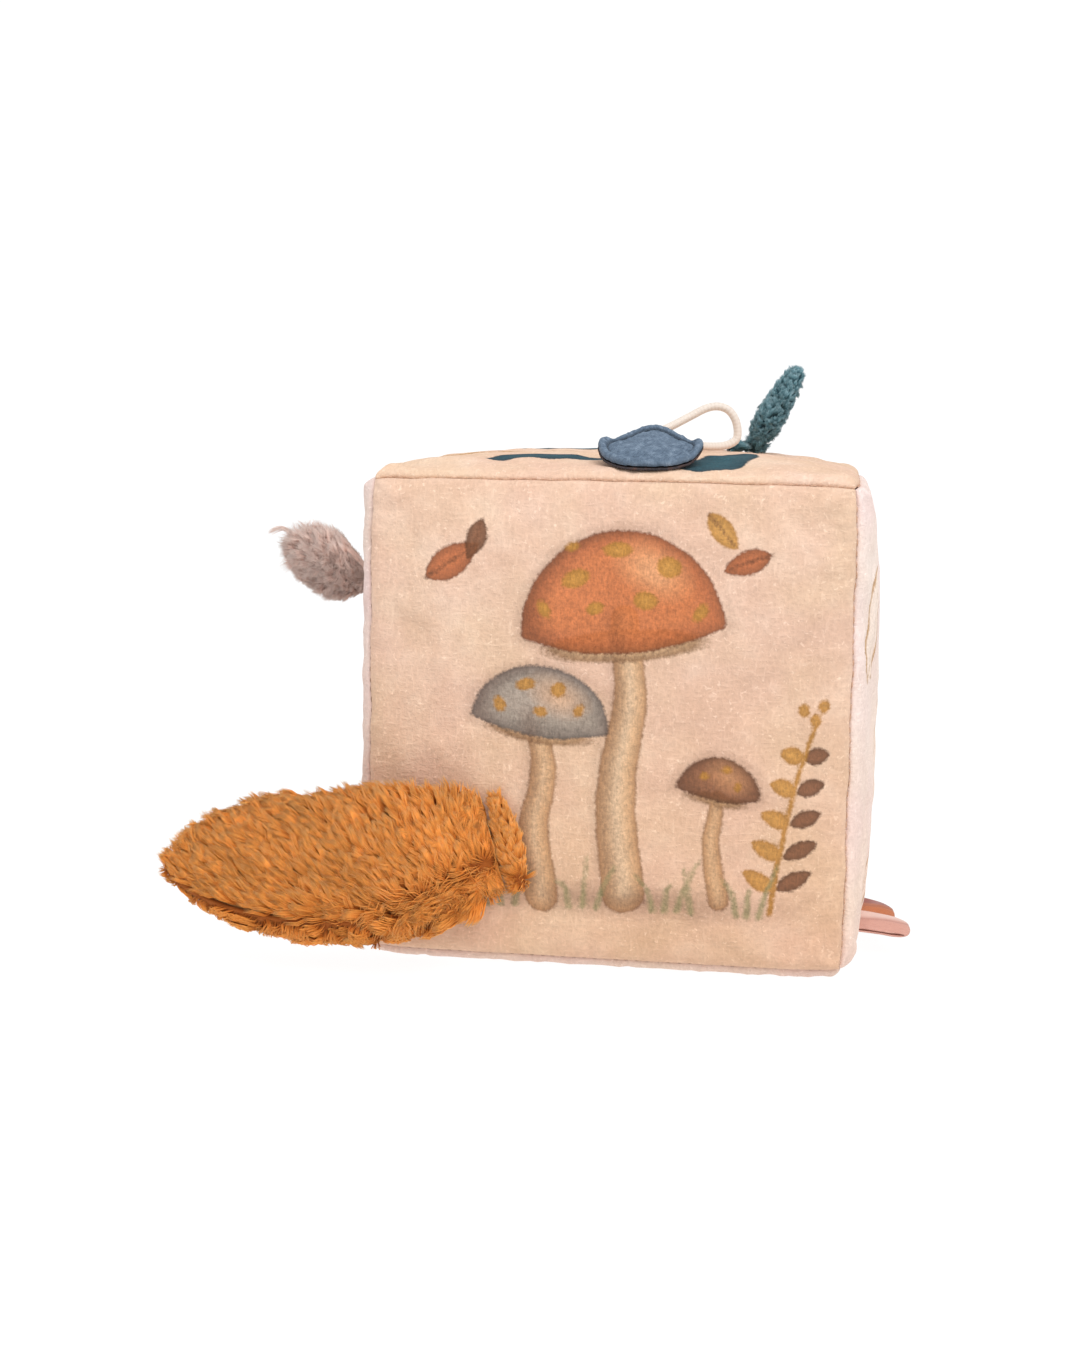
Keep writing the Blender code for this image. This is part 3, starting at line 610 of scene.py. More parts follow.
# Outlined leaves, each a thin ochre line round a pale middle
def sidePrints(a, b):
    rows = (
        ((-62, 14), (36, 9), 62), ((-30, -30), (44, 11), 72), ((14, 30), (34, 9), -30),
        ((20, -44), (40, 10), 40), ((-52, -52), (24, 6), 20),
    )
    leaves = several(leaf, a, b, rows)
    veins = joined(*[vein(a, b, at, size[0] * 0.8, t, 1.1, 0.9) for at, size, t in rows])
    return {"Ochre": joined(np.abs(leaves) - 0.95, veins), "Cream": leaves}


# A loose scatter of leaves and berries
def backPrints(a, b):
    rng = np.random.default_rng(12)
    groups = {"Rust": [], "Ochre": [], "Green": [], "Brown": []}
    names = list(groups)
    for i in range(5):
        for j in range(5):
            x = -52 + 26 * i + (j % 2) * 9 - 4 + rng.uniform(-4, 4)
            y = -52 + 26 * j + rng.uniform(-4, 4)
            angle = rng.uniform(0, 360)
            berry = oval(a, b, (x + 9 * math.cos(angle), y + 9 * math.sin(angle) + 3), (2, 2))
            groups[names[(i * 2 + j) % 4]].append(leaf(a, b, (x, y), (14, 3.6), angle))
            groups[names[(i * 2 + j + 1) % 4]].append(berry)
    return {name: joined(*shapes) for name, shapes in groups.items()}


# Each ink: how soft its edge is in millimetres, how much it covers, and its colours from the edge inwards
inks = {
    "Stem": (0.4, 0.92, [(0, "#8F6A4C"), (0.12, "#B98F68"), (0.4, "#D0AA84"), (0.8, "#DFC2A2")]),
    "Gill": (0.5, 0.9, [(0, "#8A6748"), (0.3, "#C29C76"), (1, "#CDA983")]),
    "Line": (0.5, 0.6, [(0, "#7A5A40"), (1, "#6A4A34")]),
    "Vein": (0.5, 0.7, [(0, "#6A4430"), (1, "#6A4430")]),
    "Shade": (3.2, 0.5, [(0, "#5A3424"), (1, "#4A2A1E")]),
    "Glow": (3.0, 0.5, [(0, "#E2A878"), (1, "#EBB98C")]),
    "Cream": (0.5, 0.4, [(0, "#F0D9C4"), (1, "#F4E2D2")]),
    "Rust": (0.4, 0.92, [(0, "#6E3A20"), (0.12, "#98522A"), (0.4, "#B06034"), (1, "#C26E3C")]),
    "Grey": (0.4, 0.92, [(0, "#565250"), (0.15, "#7C736C"), (0.6, "#948A80"), (1, "#A1958A")]),
    "Brown": (0.4, 0.92, [(0, "#54331F"), (0.2, "#764A30"), (1, "#925E3E")]),
    "Ochre": (0.4, 0.92, [(0, "#A97735"), (0.3, "#C08C44"), (1, "#CE9F58")]),
    "Green": (0.5, 0.75, [(0, "#8A8660"), (1, "#A79F72")]),
    "Teal": (0.4, 0.97, [(0, "#0C3642"), (0.3, "#114452"), (1, "#17505E")]),
}


def cottonMaterial(name, colours, prints, seed, sheen, specular):
    # Cotton canvas, plain woven and printed: matt, with slubs and pale flecks that catch the light
    material, add = newMaterial(name, roughness=0.92, sheen=sheen, sheenColour="#FFF3E8", specular=specular)
    light, base, dark = colours
    place, uv = add("TexCoord", out="Object"), add("UVMap", uv_map="cloth")
    moved = add("Mapping", {"Vector": place, "Location": (seed * 0.37, seed * 0.11, seed * 0.23)})
    # Slubs: thicker bits of thread about 1 by 4 mm that run both ways, and a slow mottling of 15 mm
    slubs = []
    for scale, location in (((155, 38, 1), (seed, 0, 0)), ((38, 155, 1), (0, seed, 0))):
        run = add("Mapping", {"Vector": uv, "Scale": scale, "Location": location})
        slubs.append(add("TexNoise", {"Vector": run, "Scale": 1, "Detail": 2, "Distortion": 0.6}))
    slub = add("Math", slubs, operation="MAXIMUM")
    fleck = add("TexNoise", {"Vector": moved, "Scale": 900, "Detail": 2, "Roughness": 0.7})
    mottle = add("TexNoise", {"Vector": moved, "Scale": 65, "Detail": 3, "Roughness": 0.6})
    colour = add("ValToRGB", [mottle], stops=[(0.15, dark), (0.5, base), (0.85, light)])
    fleckShare = add("MapRange", [slub, 0.58, 0.78, 0, 0.42])
    colour = add("Mix", {0: fleckShare, 6: colour, 7: light}, 2, data_type="RGBA")
    # Neps: small pale knots of fibre, about 0.8 mm across and 4 mm apart
    knots = add("TexNoise", {"Vector": moved, "Scale": 860, "Detail": 1, "Distortion": 0.8})
    nepShare = add("MapRange", [knots, 0.65, 0.73, 0, 0.72])
    colour = add("Mix", {0: nepShare, 6: colour, 7: light}, 2, data_type="RGBA")
    colour = add("VectorMath", [colour, add("MapRange", [nepShare, 0, 1, 0.99, 1.12])], operation="MULTIPLY")
    # The dye drifts slowly between a pinker and a yellower tone, over 20 mm
    drift = add("TexNoise", {"Vector": moved, "Scale": 42, "Detail": 1})
    tones = add("ValToRGB", [drift], stops=[(0.35, "#FFFFFA"), (0.65, "#FFFBFC")])
    colour = add("VectorMath", [colour, tones], operation="MULTIPLY")
    # Hatching of the drawn areas, as a soft crayon leaves it: lines about 0.6 mm apart at a slant
    slanting = add("Mapping", {"Vector": uv, "Scale": (260, 60, 1), "Rotation": (0, 0, 0.9)})
    crayon = add("TexNoise", {"Vector": slanting, "Scale": 1, "Detail": 3, "Roughness": 0.7})
    inked = add("MapRange", [add("Math", [crayon, fleck]), 0.7, 1.3, 0.76, 1.26])
    rough = add("Math", [fleck, 1.4, -0.7], operation="MULTIPLY_ADD")
    for layer in prints:
        soft, strength, stops = inks[layer]
        # The edge wanders a little with the threads, as ink does on canvas
        edge = add("Math", [add("Attribute", out="Fac", attribute_name="print" + layer), rough])
        mask = add("MapRange", [edge, soft, -soft, 0, strength])
        tint = add("ValToRGB", [add("MapRange", [edge, 0, -7, 0, 1])], stops=stops)
        ink = add("VectorMath", [tint, inked], operation="MULTIPLY")
        colour = add("Mix", {0: mask, 6: colour, 7: ink}, 2, data_type="RGBA")
    # Ink and cloth are grainy where threads cross, 0.7 mm apart: coarser than real, so that it shows
    grain = add("Math", [fleck, slub])
    colour = add("VectorMath", [colour, add("MapRange", [grain, 0.75, 1.35, 0.91, 1.09])], operation="MULTIPLY")
    # Painted shade: slightly warmer and darker towards the table, standing for the shade and the warm bounced light
    # low on the block
    paintedLowShade = add("MapRange", [add("SeparateXYZ", [place], out="Z"), 0.0, 0.1, 1, 0])
    paintedLowShadeTint = add("Mix", {0: paintedLowShade, 6: white, 7: (0.965, 0.88, 0.79, 1)}, 2, data_type="RGBA")
    colour = add("VectorMath", [colour, paintedLowShadeTint], operation="MULTIPLY")
    bump = add("Bump", {"Height": grain, "Strength": 0.75, "Distance": 0.0004})
    setShader(material, {"Base Color": colour, "Normal": bump})
    return material


def makePanel(name, across, up, crown, colours, prints, seed, cells, sheen=0.18, specular=0.2):
    s = coverSettings
    shares = np.linspace(-1, 1, cells + 1)
    shares = shares + s["crowding"] / np.pi * np.sin(np.pi * shares)  # closer together at the seams
    v, u = np.meshgrid(shares, shares, indexing="ij")
    points = panelPoints(u, v, crown, seed)
    if crown > 1:
        points = addFolds(points, shares, settledFolds(name, across, up, crown, seed))
    grid = np.arange((cells + 1) ** 2).reshape(cells + 1, cells + 1)
    faces = [tuple(f) for f in gridFaces(grid, True)]
    verts = panelToBlock(points, across, up).reshape(-1, 3)
    # Seam allowances turned in towards the middle of the block
    ring = border = np.concatenate([grid[0, :-1], grid[:-1, -1], grid[-1, :0:-1], grid[:0:-1, 0]])
    middle = np.array([0, 0, coverMiddle])
    rings, sourceOf = [verts], list(range(len(verts)))
    for depth in (0.8, 2.2, 4.2, s["allowance"]):
        rings.append(middle + (verts[border] - middle) * (1 - depth / (math.sqrt(2) * s["half"])))
        new = len(sourceOf) + np.arange(len(border))
        faces += list(zip(np.roll(ring, -1), ring, new, np.roll(new, -1)))
        sourceOf += list(border)
        ring = new
    layers = prints(points[..., 0], points[..., 1]) if prints else {}
    title = name.replace("_", " ") + " printed cotton canvas"
    material = cottonMaterial(title, colours, list(layers), seed, sheen, specular)
    panel = newPiece(name + "_cloth", wandered(np.vstack(rings)) * mm, faces, material)
    for layer, values in layers.items():
        storeValues(panel, "print" + layer, np.clip(values, -s["inkReach"], s["inkReach"]).ravel()[sourceOf])
    storeMap(panel, np.stack([u, v], -1).reshape(-1, 2)[sourceOf] * 0.5 + 0.5)
    applyModifier(panel, "SOLIDIFY", thickness=s["cloth"] * mm, offset=-1, use_even_offset=False)
    standFor(panel, "block", name)


# Light, middle and dark of each cloth
sand = ("#EACEB8", "#DEBCA4", "#D4B197")
pink = ("#EEDCD6", "#E4CDC5", "#DCC2B8")
# The right panel's pink is the side pink made lighter: painted light on the side that faces the key lamp
litSidePink = ("#F5E6E1", "#EDDAD3", "#E5CFC7")
peach = ("#EBD2BF", "#E3C3AB", "#DBB79E")
crown, restCrown = coverSettings["crown"], coverSettings["restCrown"]
frontCells, cells, restCells = (coverSettings[k] for k in ("frontCells", "cells", "restCells"))
for row in (
    ("front_panel", (1, 0, 0), (0, 0, 1), crown, sand, frontPrints, 3, frontCells),
    ("back_panel", (-1, 0, 0), (0, 0, 1), crown, sand, backPrints, 21, cells),
    ("left_panel", (0, -1, 0), (0, 0, 1), crown, pink, sidePrints, 34, cells),
    ("right_panel", (0, 1, 0), (0, 0, 1), crown, litSidePink, sidePrints, 47, cells),
    ("top_panel", (1, 0, 0), (0, 1, 0), crown, peach, topPrints, 58, cells, 0.05, 0.08),
    ("bottom_panel", (1, 0, 0), (0, -1, 0), restCrown, pink, None, 69, restCells),
):
    makePanel(*row)


# One stitch, copied along the seams, deep in the valley between two panels: brown or sand thread
def makeSeamStitches(name, brown, tones):
    s = coverSettings
    half = s["half"]
    rng = np.random.default_rng(9)
    lines = []
    for axis in range(3):
        for one in (-1, 1):
            for other in (-1, 1):
                sides = {((axis + 1) % 3, one), ((axis + 2) % 3, other)}
                if bool(sides & {(0, -1), (2, -1)}) != brown:  # the left and bottom seams are brown
                    continue
                for k in range(int((2 * half - 2 * s["stitchFrom"]) / s["stitchPitch"])):
                    start = -half + s["stitchFrom"] + (k + 0.5) * s["stitchPitch"] - s["stitchLong"] / 2
                    start = start + rng.normal(0, s["stitchSpread"])
                    along = start + np.linspace(0, 1, 5) * s["stitchLong"] * rng.uniform(0.8, 1.05)
                    draw = 1 - s["cornerDraw"] / half * np.abs(along / half) ** s["cornerPower"]
                    arch = s["stitchRise"] * np.sin(np.linspace(0, np.pi, 5))
                    depth = half * draw - s["seamSink"] - s["stitchSink"] + arch
                    line = np.zeros((5, 3))
                    line[:, axis] = along
                    line[:, (axis + 1) % 3] = one * depth
                    line[:, (axis + 2) % 3] = other * depth
                    line[:, 2] += coverMiddle
                    lines.append(wandered(line))
    verts, faces = stitchTubes(lines, s["thread"], np.array(s["threadTaper"]))
    thread = threadMaterial(name.replace("_", " ") + " cotton sewing thread", 0.7, 0.3, 2200, tones)
    piece = newPiece(name, verts * mm, faces, thread)
    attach(piece, "block")


makeSeamStitches("brown_seam_stitching", True, ("#7E5440", "#A0745A"))
makeSeamStitches("sand_seam_stitching", False, ("#C79F84", "#DDB89E"))
print("cover done")


# Stuffing inside the cover, the tails and the wing

stuffingLumps = {  # node: its body and how deep its lumps are
    "fibre_filling": ("block", 1.2),
    "front_tail_filling": ("front_tail", 0.5),
    "top_tail_filling": ("top_tail", 0.2),
    "side_tail_filling": ("side_tail", 0.3),
    "wing_wadding": ("wing", 0.05),
}


def fibreMaterial():
    # Polyester fibre stuffing, carded loose: white, matt and fluffy
    material, add = newMaterial("polyester fibre stuffing", roughness=1.0, sheen=0.4)
    place = add("TexCoord", out="Object")
    fluff = add("TexNoise", {"Vector": place, "Scale": 220, "Detail": 6, "Roughness": 0.7, "Distortion": 1.5})
    tone = add("ValToRGB", [fluff], stops=[(0.3, "#E2DDD5"), (0.7, "#F7F4EF")])
    bump = add("Bump", {"Height": fluff, "Strength": 0.8, "Distance": 0.001})
    setShader(material, {"Base Color": tone, "Normal": bump})
    return material


# A copy of the solid, merged, rounded and made lumpy inwards
def makeStuffing(node, body, lump, material):
    data = frame["nodes"][node].data.copy()
    piece = bpy.data.objects.new(node + "_wool", data)
    bpy.context.scene.collection.objects.link(piece)
    data.materials.clear()
    data.materials.append(material)
    for uv in list(data.uv_layers):
        data.uv_layers.remove(uv)
    editAll(piece, lambda: bpy.ops.mesh.remove_doubles(threshold=1e-6), bpy.ops.mesh.tris_convert_to_quads)
    applyModifier(piece, "SUBSURF", levels=2, render_levels=2)
    points, normals = meshPoints(piece), meshPoints(piece, "normal")
    x, y, z = points.T
    field = lumps(5, 22 * mm, 6 * mm)(x + y * 0.4, z - y * 0.7)
    points = points - normals * (lump * mm * (0.5 + 0.5 * np.clip(field, -1, 1)))[:, None]
    data.vertices.foreach_set("co", points.astype(np.float32).ravel())
    data.update()
    data.shade_smooth()
    standFor(piece, body, node)


woolMaterial = fibreMaterial()
for node, (body, lump) in stuffingLumps.items():
    makeStuffing(node, body, lump, woolMaterial)
print("stuffing done")


# Plush tails: a cloth backing, cut as two pieces, with a pile of hair. Each tail's own frame has X
# from its sewn root to its tip and Y to the front.

shellSettings = {"around": 48, "along": 40, "blunt": 2.4, "hollowFrom": 0.2, "hollowLong": 0.73, "hollowFit": 0.98}

tails = {
    "front_tail": {
        "root": (-31.6, -76.446, 38.0), "x": (-0.96815, 0, -0.25038), "y": (0, -1, 0), "z": (-0.25038, 0, 0.96815),
        "length": 95, "height": 45.5, "thickness": 24, "rootHigh": 0.6, "rootThick": 0.045, "widest": 0.35,
        "tip": 0.6, "neck": 0, "turn": 14.5, "reach": 50, "flat": True, "seam": -45, "inset": 3.6,
        "insetBelow": 1.4, "pile": 5.0, "joint": "front_tail_lift", "rangeShare": 1.0,
    },
    "top_tail": {
        "root": (36.3, 20, 151.671), "x": (0, 0, 1), "y": (0, -1, 0), "z": (1, 0, 0),
        "length": 28, "height": 11, "thickness": 12, "rootHigh": 0.47, "rootThick": 0.43, "widest": 0.4,
        "tip": 0.38, "neck": 2.6, "turn": 27, "reach": 3, "flat": False, "seam": 0, "inset": 1.9,
        "insetBelow": 1.9, "pile": 3.4, "joint": "top_tail_bend", "rangeShare": 0.15,
    },
    "side_tail": {
        "root": (-79.294, -35, 108.5), "x": (-1, 0, 0), "y": (0, -1, 0), "z": (0, 0, 1),
        "length": 28.5, "height": 20.5, "thickness": 18, "rootHigh": 0.29, "rootThick": 0.33, "widest": 0.55,
        "tip": 0.48, "neck": 3, "turn": 19, "reach": 4, "flat": False, "seam": 0, "inset": 2.9,
        "insetBelow": 2.9, "pile": 5.0, "joint": "side_tail_bend", "rangeShare": 1.0,
        "wisp": [(22, 1.5, 12.6), (24, 1.5, 14.6), (26.2, 1.5, 15.8), (28.6, 1.2, 15.4), (31, 1, 14.2)],
    },
}


def tailFrame(tail):  # turn and origin, from its own frame to the block's
    return np.column_stack([tail[k] for k in "xyz"]), np.array(tail["root"])


def swell(t, root, neck, widest, tip):
    t = np.clip(t, 0, 1)
    early = root * np.sqrt(np.clip(1 - (1 - t / max(neck, 1e-9)) ** 2, 0, 1))
    middle = root + (1 - root) * np.sin(np.pi / 2 * np.clip((t - neck) / (widest - neck), 0, 1))
    late = np.clip(1 - np.clip((t - widest) / (1 - widest), 0, 1) ** shellSettings["blunt"], 0, 1) ** tip
    return np.where(t < neck, early, np.where(t < widest, middle, late))


# Round a tail's bent middle line, which runs half a thickness out where the tail's back is flat
def roundMiddle(tail, t, x, y, z):
    middleZ = math.tan(math.radians(tail["turn"])) * (x - tail["reach"] * (1 - np.exp(-x / tail["reach"])))
    if tail["flat"]:
        t = np.minimum(t, tail["widest"])
        y = tail["thickness"] / 2 * swell(t, tail["rootThick"], 0, tail["widest"], 1) + y
    return np.stack([x - tail["neck"], y, middleZ + z], -1)


# Points of a unit sphere with its poles on X, moved to the tail's outside less an inset
def tailOutside(tail, sphere, inset):
    t = np.clip((1 + sphere[:, 0]) / 2, 0, 1)
    radius = np.maximum(np.hypot(sphere[:, 1], sphere[:, 2]), 1e-9)
    neck = tail["neck"] / tail["length"]
    thick = tail["thickness"] / 2 * swell(t, tail["rootThick"], neck, tail["widest"], tail["tip"])
    high = tail["height"] / 2 * swell(t, tail["rootHigh"], neck, tail["widest"], tail["tip"])
    thick = np.where(thick > 0, np.maximum(thick - inset, 0.4 * thick), 0)
    high = np.where(high > 0, np.maximum(high - inset * np.clip(0.25 + t / 0.2, 0, 1), 0.55 * high), 0)
    x = tail["length"] * t * (1 - inset * 0.8 / tail["length"])
    return roundMiddle(tail, t, x, thick * sphere[:, 1] / radius, high * sphere[:, 2] / radius)


def tailCavity(tail, sphere):
    s = shellSettings
    t = s["hollowFrom"] + s["hollowLong"] * (1 + sphere[:, 0]) / 2
    thick, high = (tail[k] / 2 - tail["pile"] * s["hollowFit"] for k in ("thickness", "height"))
    return roundMiddle(tail, t, tail["length"] * t, thick * sphere[:, 1], high * sphere[:, 2])


# One plush piece: its outside, its hollow and the seam faces between them, and points on the seam
def halfShell(tail, side):
    count, along = shellSettings["around"] // 2 + 1, shellSettings["along"]
    phis = math.radians(tail["seam"]) + np.linspace(0, np.pi, count) * side  # over this side, seam to seam
    thetas = np.linspace(0, np.pi, along + 1)[1:-1]
    sphere = [(-math.cos(a), math.sin(a) * math.cos(p), math.sin(a) * math.sin(p)) for a in thetas for p in phis]
    first, last, total = len(sphere), len(sphere) + 1, len(sphere) + 2
    sphere = np.array(sphere + [(-1, 0, 0), (1, 0, 0)])
    outer = tailOutside(tail, sphere, tail["inset" if side > 0 else "insetBelow"])
    inner = tailCavity(tail, sphere)
    grid = np.arange(first).reshape(along - 1, count)
    faces = [tuple(f) for f in gridFaces(grid)]
    for j in range(count - 1):
        faces += [(first, grid[0, j], grid[0, j + 1]), (last, grid[-1, j + 1], grid[-1, j])]
    outside = list(faces)
    faces += [tuple(reversed([k + total for k in f])) for f in faces]
    for j in (0, count - 1):
        edge = [first, *grid[:, j], last]
        for a, b in zip(edge, edge[1:]):
            faces.append((a, b, b + total, a + total) if j == 0 else (b, a, a + total, b + total))
    seam = np.vstack([outer[grid[:, 0]], outer[grid[:, -1]], outer[[first, last]]])
    return outer, inner, outside, faces, seam


# Random places on faces, spread evenly by area, with the normals that point outwards
def scatterOn(points, faces, count, rng):
    triangles = np.array([(f[0], f[k], f[k + 1]) for f in faces for k in range(1, len(f) - 1)])
    a, b, c = (points[triangles[:, k]] for k in range(3))
    cross = np.cross(b - a, c - a)
    area = np.linalg.norm(cross, axis=1)
    chosen = rng.choice(len(triangles), count, p=area / area.sum())
    r, q = np.sqrt(rng.random(count))[:, None], rng.random(count)[:, None]
    spots = (1 - r) * a[chosen] + r * (1 - q) * b[chosen] + r * q * c[chosen]
    normals = unit(cross[chosen])
    if np.mean(((spots - points.mean(0)) * normals).sum(1)) < 0:
        normals = -normals
    return spots, normals


def nearestTo(points):
    tree = KDTree(len(points))
    for i, point in enumerate(points):
        tree.insert(point, i)
    tree.balance()
    return tree.find


def alongSurface(comb, normals):
    return unit(comb - normals * (comb * normals).sum(1)[:, None])


def nearRoot(spots, reach):  # 1 at the sewn root, less along the tail
    return np.exp(-(np.clip(spots[:, 0], 0, None) / reach) ** 2)


hairSettings = {
    "calmReach": 16, "flatReach": 15, "darkReach": 6, "shortest": 0.6, "sunk": 0.35, "ownStray": 0.4,
    "ownUneven": 0.5, "ownTone": 0.1, "thick": (0.75, 1.25), "lowest": -0.8, "highest": 0.97, "wave": 2.6,
    "gatherPower": 1.2, "taper": ([0, 0.25, 0.5, 0.75, 1], [0.85, 1, 0.9, 0.62, 0]),
}


# Hairs in locks: each hair rises, bends over along the comb and leans to the middle hair of its lock
def growHair(spots, normals, comb, lengths, style, rng, fence=None):
    h, count, parts = hairSettings, len(spots), style["parts"]
    lockCount = max(int(count / style["perLock"]), 3)
    heads = rng.choice(count, lockCount, replace=False)
    nearest = nearestTo(spots[heads])
    lock = np.array([nearest(p)[1] for p in spots])
    head = heads[lock]
    calm = 1 - style.get("rootCalm", 0) * nearRoot(spots, h["calmReach"])  # smoother beside the sewn root
    turn = rng.normal(0, style["stray"], lockCount)[lock] + rng.normal(0, style["stray"] * h["ownStray"], count)
    turn = (calm * turn)[:, None]
    comb = unit(comb * np.cos(turn) + np.cross(normals, comb) * np.sin(turn))
    side = unit(np.cross(normals, comb))
    lengths = lengths * rng.normal(1, style["uneven"], lockCount)[lock]
    lengths = np.clip(lengths * rng.normal(1, style["uneven"] * h["ownUneven"], count), h["shortest"], None)
    lift = style["lift"] + rng.normal(0, style["liftSpread"], lockCount)[lock]
    below = np.clip(0.3 - normals[:, 2], 0, 0.5) / 0.5
    lift = lift * (1 - style.get("rootFlat", 0) * nearRoot(spots, h["flatReach"]) * below)
    curl = calm * rng.normal(0, style["curl"], lockCount)[lock]
    phase = rng.uniform(0, 2 * np.pi, lockCount)[lock]
    place = spots - normals * h["sunk"]
    line = [place]
    for share in (np.arange(parts) + 0.5) / parts:
        rise = np.clip(lift * (1 - share) + style["endLift"] * share, h["lowest"], h["highest"])[:, None]
        wave = (curl * np.sin(h["wave"] * share * np.pi + phase))[:, None]
        direction = unit(normals * rise + comb * np.sqrt(np.clip(1 - rise**2, 0, 1)) + side * wave)
        place = place + direction * (lengths / parts)[:, None]
        line.append(place)
    line = np.stack(line, 1)
    leader = line[head] + (spots - spots[head])[:, None, :] * style["lockWidth"]
    pull = style["gather"] * np.linspace(0, 1, parts + 1) ** h["gatherPower"]
    line = line + (leader - line) * pull[None, :, None]
    if fence is not None:
        line = fence(line)
    tone = 0.5 + rng.normal(0, style["toneSpread"], lockCount)[lock] + rng.normal(0, h["ownTone"], count)
    tone = tone - style.get("rootDark", 0) * np.exp(-np.clip(spots[:, 0], 0, None) / h["darkReach"])
    # Painted light: the tone is lighter on the tail's right side, which faces the key lamp
    tone = tone + style.get("sideLight", 0) * np.tanh(spots[:, 2] / 3)
    return hairMesh(line, normals, style["width"] * rng.uniform(*h["thick"], count), tone)


# Tapered three-sided hairs: verts, faces, place along the hair, and tone
def hairMesh(line, normals, widths, tone):
    count, parts = len(line), line.shape[1] - 1
    shares = np.linspace(0, 1, parts + 1)
    direction = unit(np.gradient(line, axis=1))
    across = unit(np.cross(direction, normals[:, None, :] + 1e-6))
    over = np.cross(across, direction)
    widths = (widths[:, None] * np.interp(shares, *hairSettings["taper"])[None, :])[..., None]
    corners = [math.radians(angle) for angle in (90, 210, 330)]
    rings = np.stack([line + widths / 2 * (math.cos(t) * across + math.sin(t) * over) for t in corners], 2)
    verts = np.concatenate([rings[:, :parts].reshape(count, -1, 3), line[:, -1:, :]], 1)
    per = parts * 3 + 1
    quads = gridFaces(ringGrid(parts, 3), True)
    base = parts * 3 - 3
    tips = np.array([(base + j, base + (j + 1) % 3, base + 3) for j in range(3)])
    starts = np.arange(count)[:, None, None] * per
    along = np.tile(np.append(np.repeat(shares[:parts], 3), 1.0), count)
    tone = np.repeat(np.clip(tone, 0, 1), per)
    quads, tips = (quads[None] + starts).reshape(-1, 4), (tips[None] + starts).reshape(-1, 3)
    return verts.reshape(-1, 3), quads, tips, along, tone


def plushMaterial(name, roots, tips, backing):
    # Polyester plush, knitted with a cut pile, slightly silky at the tips. Its colour goes from dark at the backing
    # and roots to pale at the tips: painted shade in the depth of the pile and a painted highlight on the tips
    material, add = newMaterial(name, roughness=0.68, sheen=0.35, sheenColour=tips[-1], specular=0.25)
    along, tone = (add("Attribute", out="Fac", attribute_name=k) for k in ("along", "tone"))
    stops = [(0, backing), (0.25, roots[0]), (0.5, roots[1]), (0.8, tips[0]), (1, tips[1])]
    slow = add("TexNoise", {"Vector": add("TexCoord", out="Object"), "Scale": 90, "Detail": 2})
    value = add("MapRange", [add("Math", [tone, slow]), 0.5, 1.5, 0.8, 1.18])
    colour = add("VectorMath", [add("ValToRGB", [along], stops=stops), value], operation="MULTIPLY")
    setShader(material, {"Base Color": colour})
    return material


# A cloth backing and its hair in one mesh
def plushPiece(name, body, shell, faces, hair, turn, origin, material, fill):
    verts, quads, triangles, along, tone = hair
    faces = [tuple(f) for part in (faces, quads + len(shell), triangles + len(shell)) for f in part]
    piece = newPiece(name + "_plush", (np.vstack([shell, verts]) @ turn.T + origin) * mm, faces, material)
    # The backing takes the dark end of the ramp: painted shade under the pile
    storeValues(piece, "along", np.concatenate([np.full(len(shell), 0.08), along]))
    storeValues(piece, "tone", np.concatenate([np.full(len(shell), 0.4), tone]))
    editAll(piece, lambda: bpy.ops.mesh.normals_make_consistent(inside=False))
    standFor(piece, body, name)
    print(name, "done,", len(piece.data.polygons), "faces")
    return piece


def makePlush(name, body, side, material, style, combing, lengthOf, seed, fence):
    tail, rng = tails[body], np.random.default_rng(seed)
    outer, inner, outside, faces, seam = halfShell(tail, side)
    spots, normals = scatterOn(outer, outside, style["hairs"], rng)
    comb, lengths = unit(combing(tail, style, spots, normals)), lengthOf(tail, style, spots, normals)
    # Close to the seam the hair lies over it, so that only a crevice shows between the two pieces
    nearest = nearestTo(seam)
    found = [nearest(p) for p in spots]
    towards = unit(np.array([f[0] for f in found]) - spots)
    below = np.clip(0.75 - normals[:, 2] * 1.5, 0, 1)
    reach = style["seamReach"] * (1 + style.get("rootReach", 0) * nearRoot(spots, hairSettings["flatReach"]) * below)
    share = style["seamCover"] * np.exp(-(np.array([f[2] for f in found]) / reach) ** 2)
    share = share * (1 - style.get("seamFade", 0) * np.clip(spots[:, 0] / tail["length"] - 0.25, 0, 0.35) / 0.35)
    comb = alongSurface(comb * (1 - share[:, None]) + towards * share[:, None], normals)
    hair = growHair(spots, normals, comb, lengths, style, rng, fence)
    if "wisp" in tail and side > 0:
        hair = withWisp(hair, smoothLine(tail["wisp"], 3), rng)
    plushPiece(name, body, np.vstack([outer, inner]), faces, hair, *tailFrame(tail), material, 0.75)


# One loose wisp that stands out at the tip
def withWisp(hair, route, rng, count=60):
    spread = np.interp(np.linspace(0, 1, len(route)), [0, 0.4, 1], [1.0, 0.5, 0.75])[:, None]
    lines = route[None] + rng.normal(0, 1, (count, 1, 3)) * spread * 0.5
    normals = np.tile([0.3, 0.2, 1.0], (count, 1))
    more = hairMesh(lines, normals, np.full(count, 0.15), np.full(count, 0.4))
    more = more[0], more[1] + len(hair[0]), more[2] + len(hair[0]), np.full(len(more[3]), 0.85), more[4]
    return [np.concatenate(pair) for pair in zip(hair, more)]


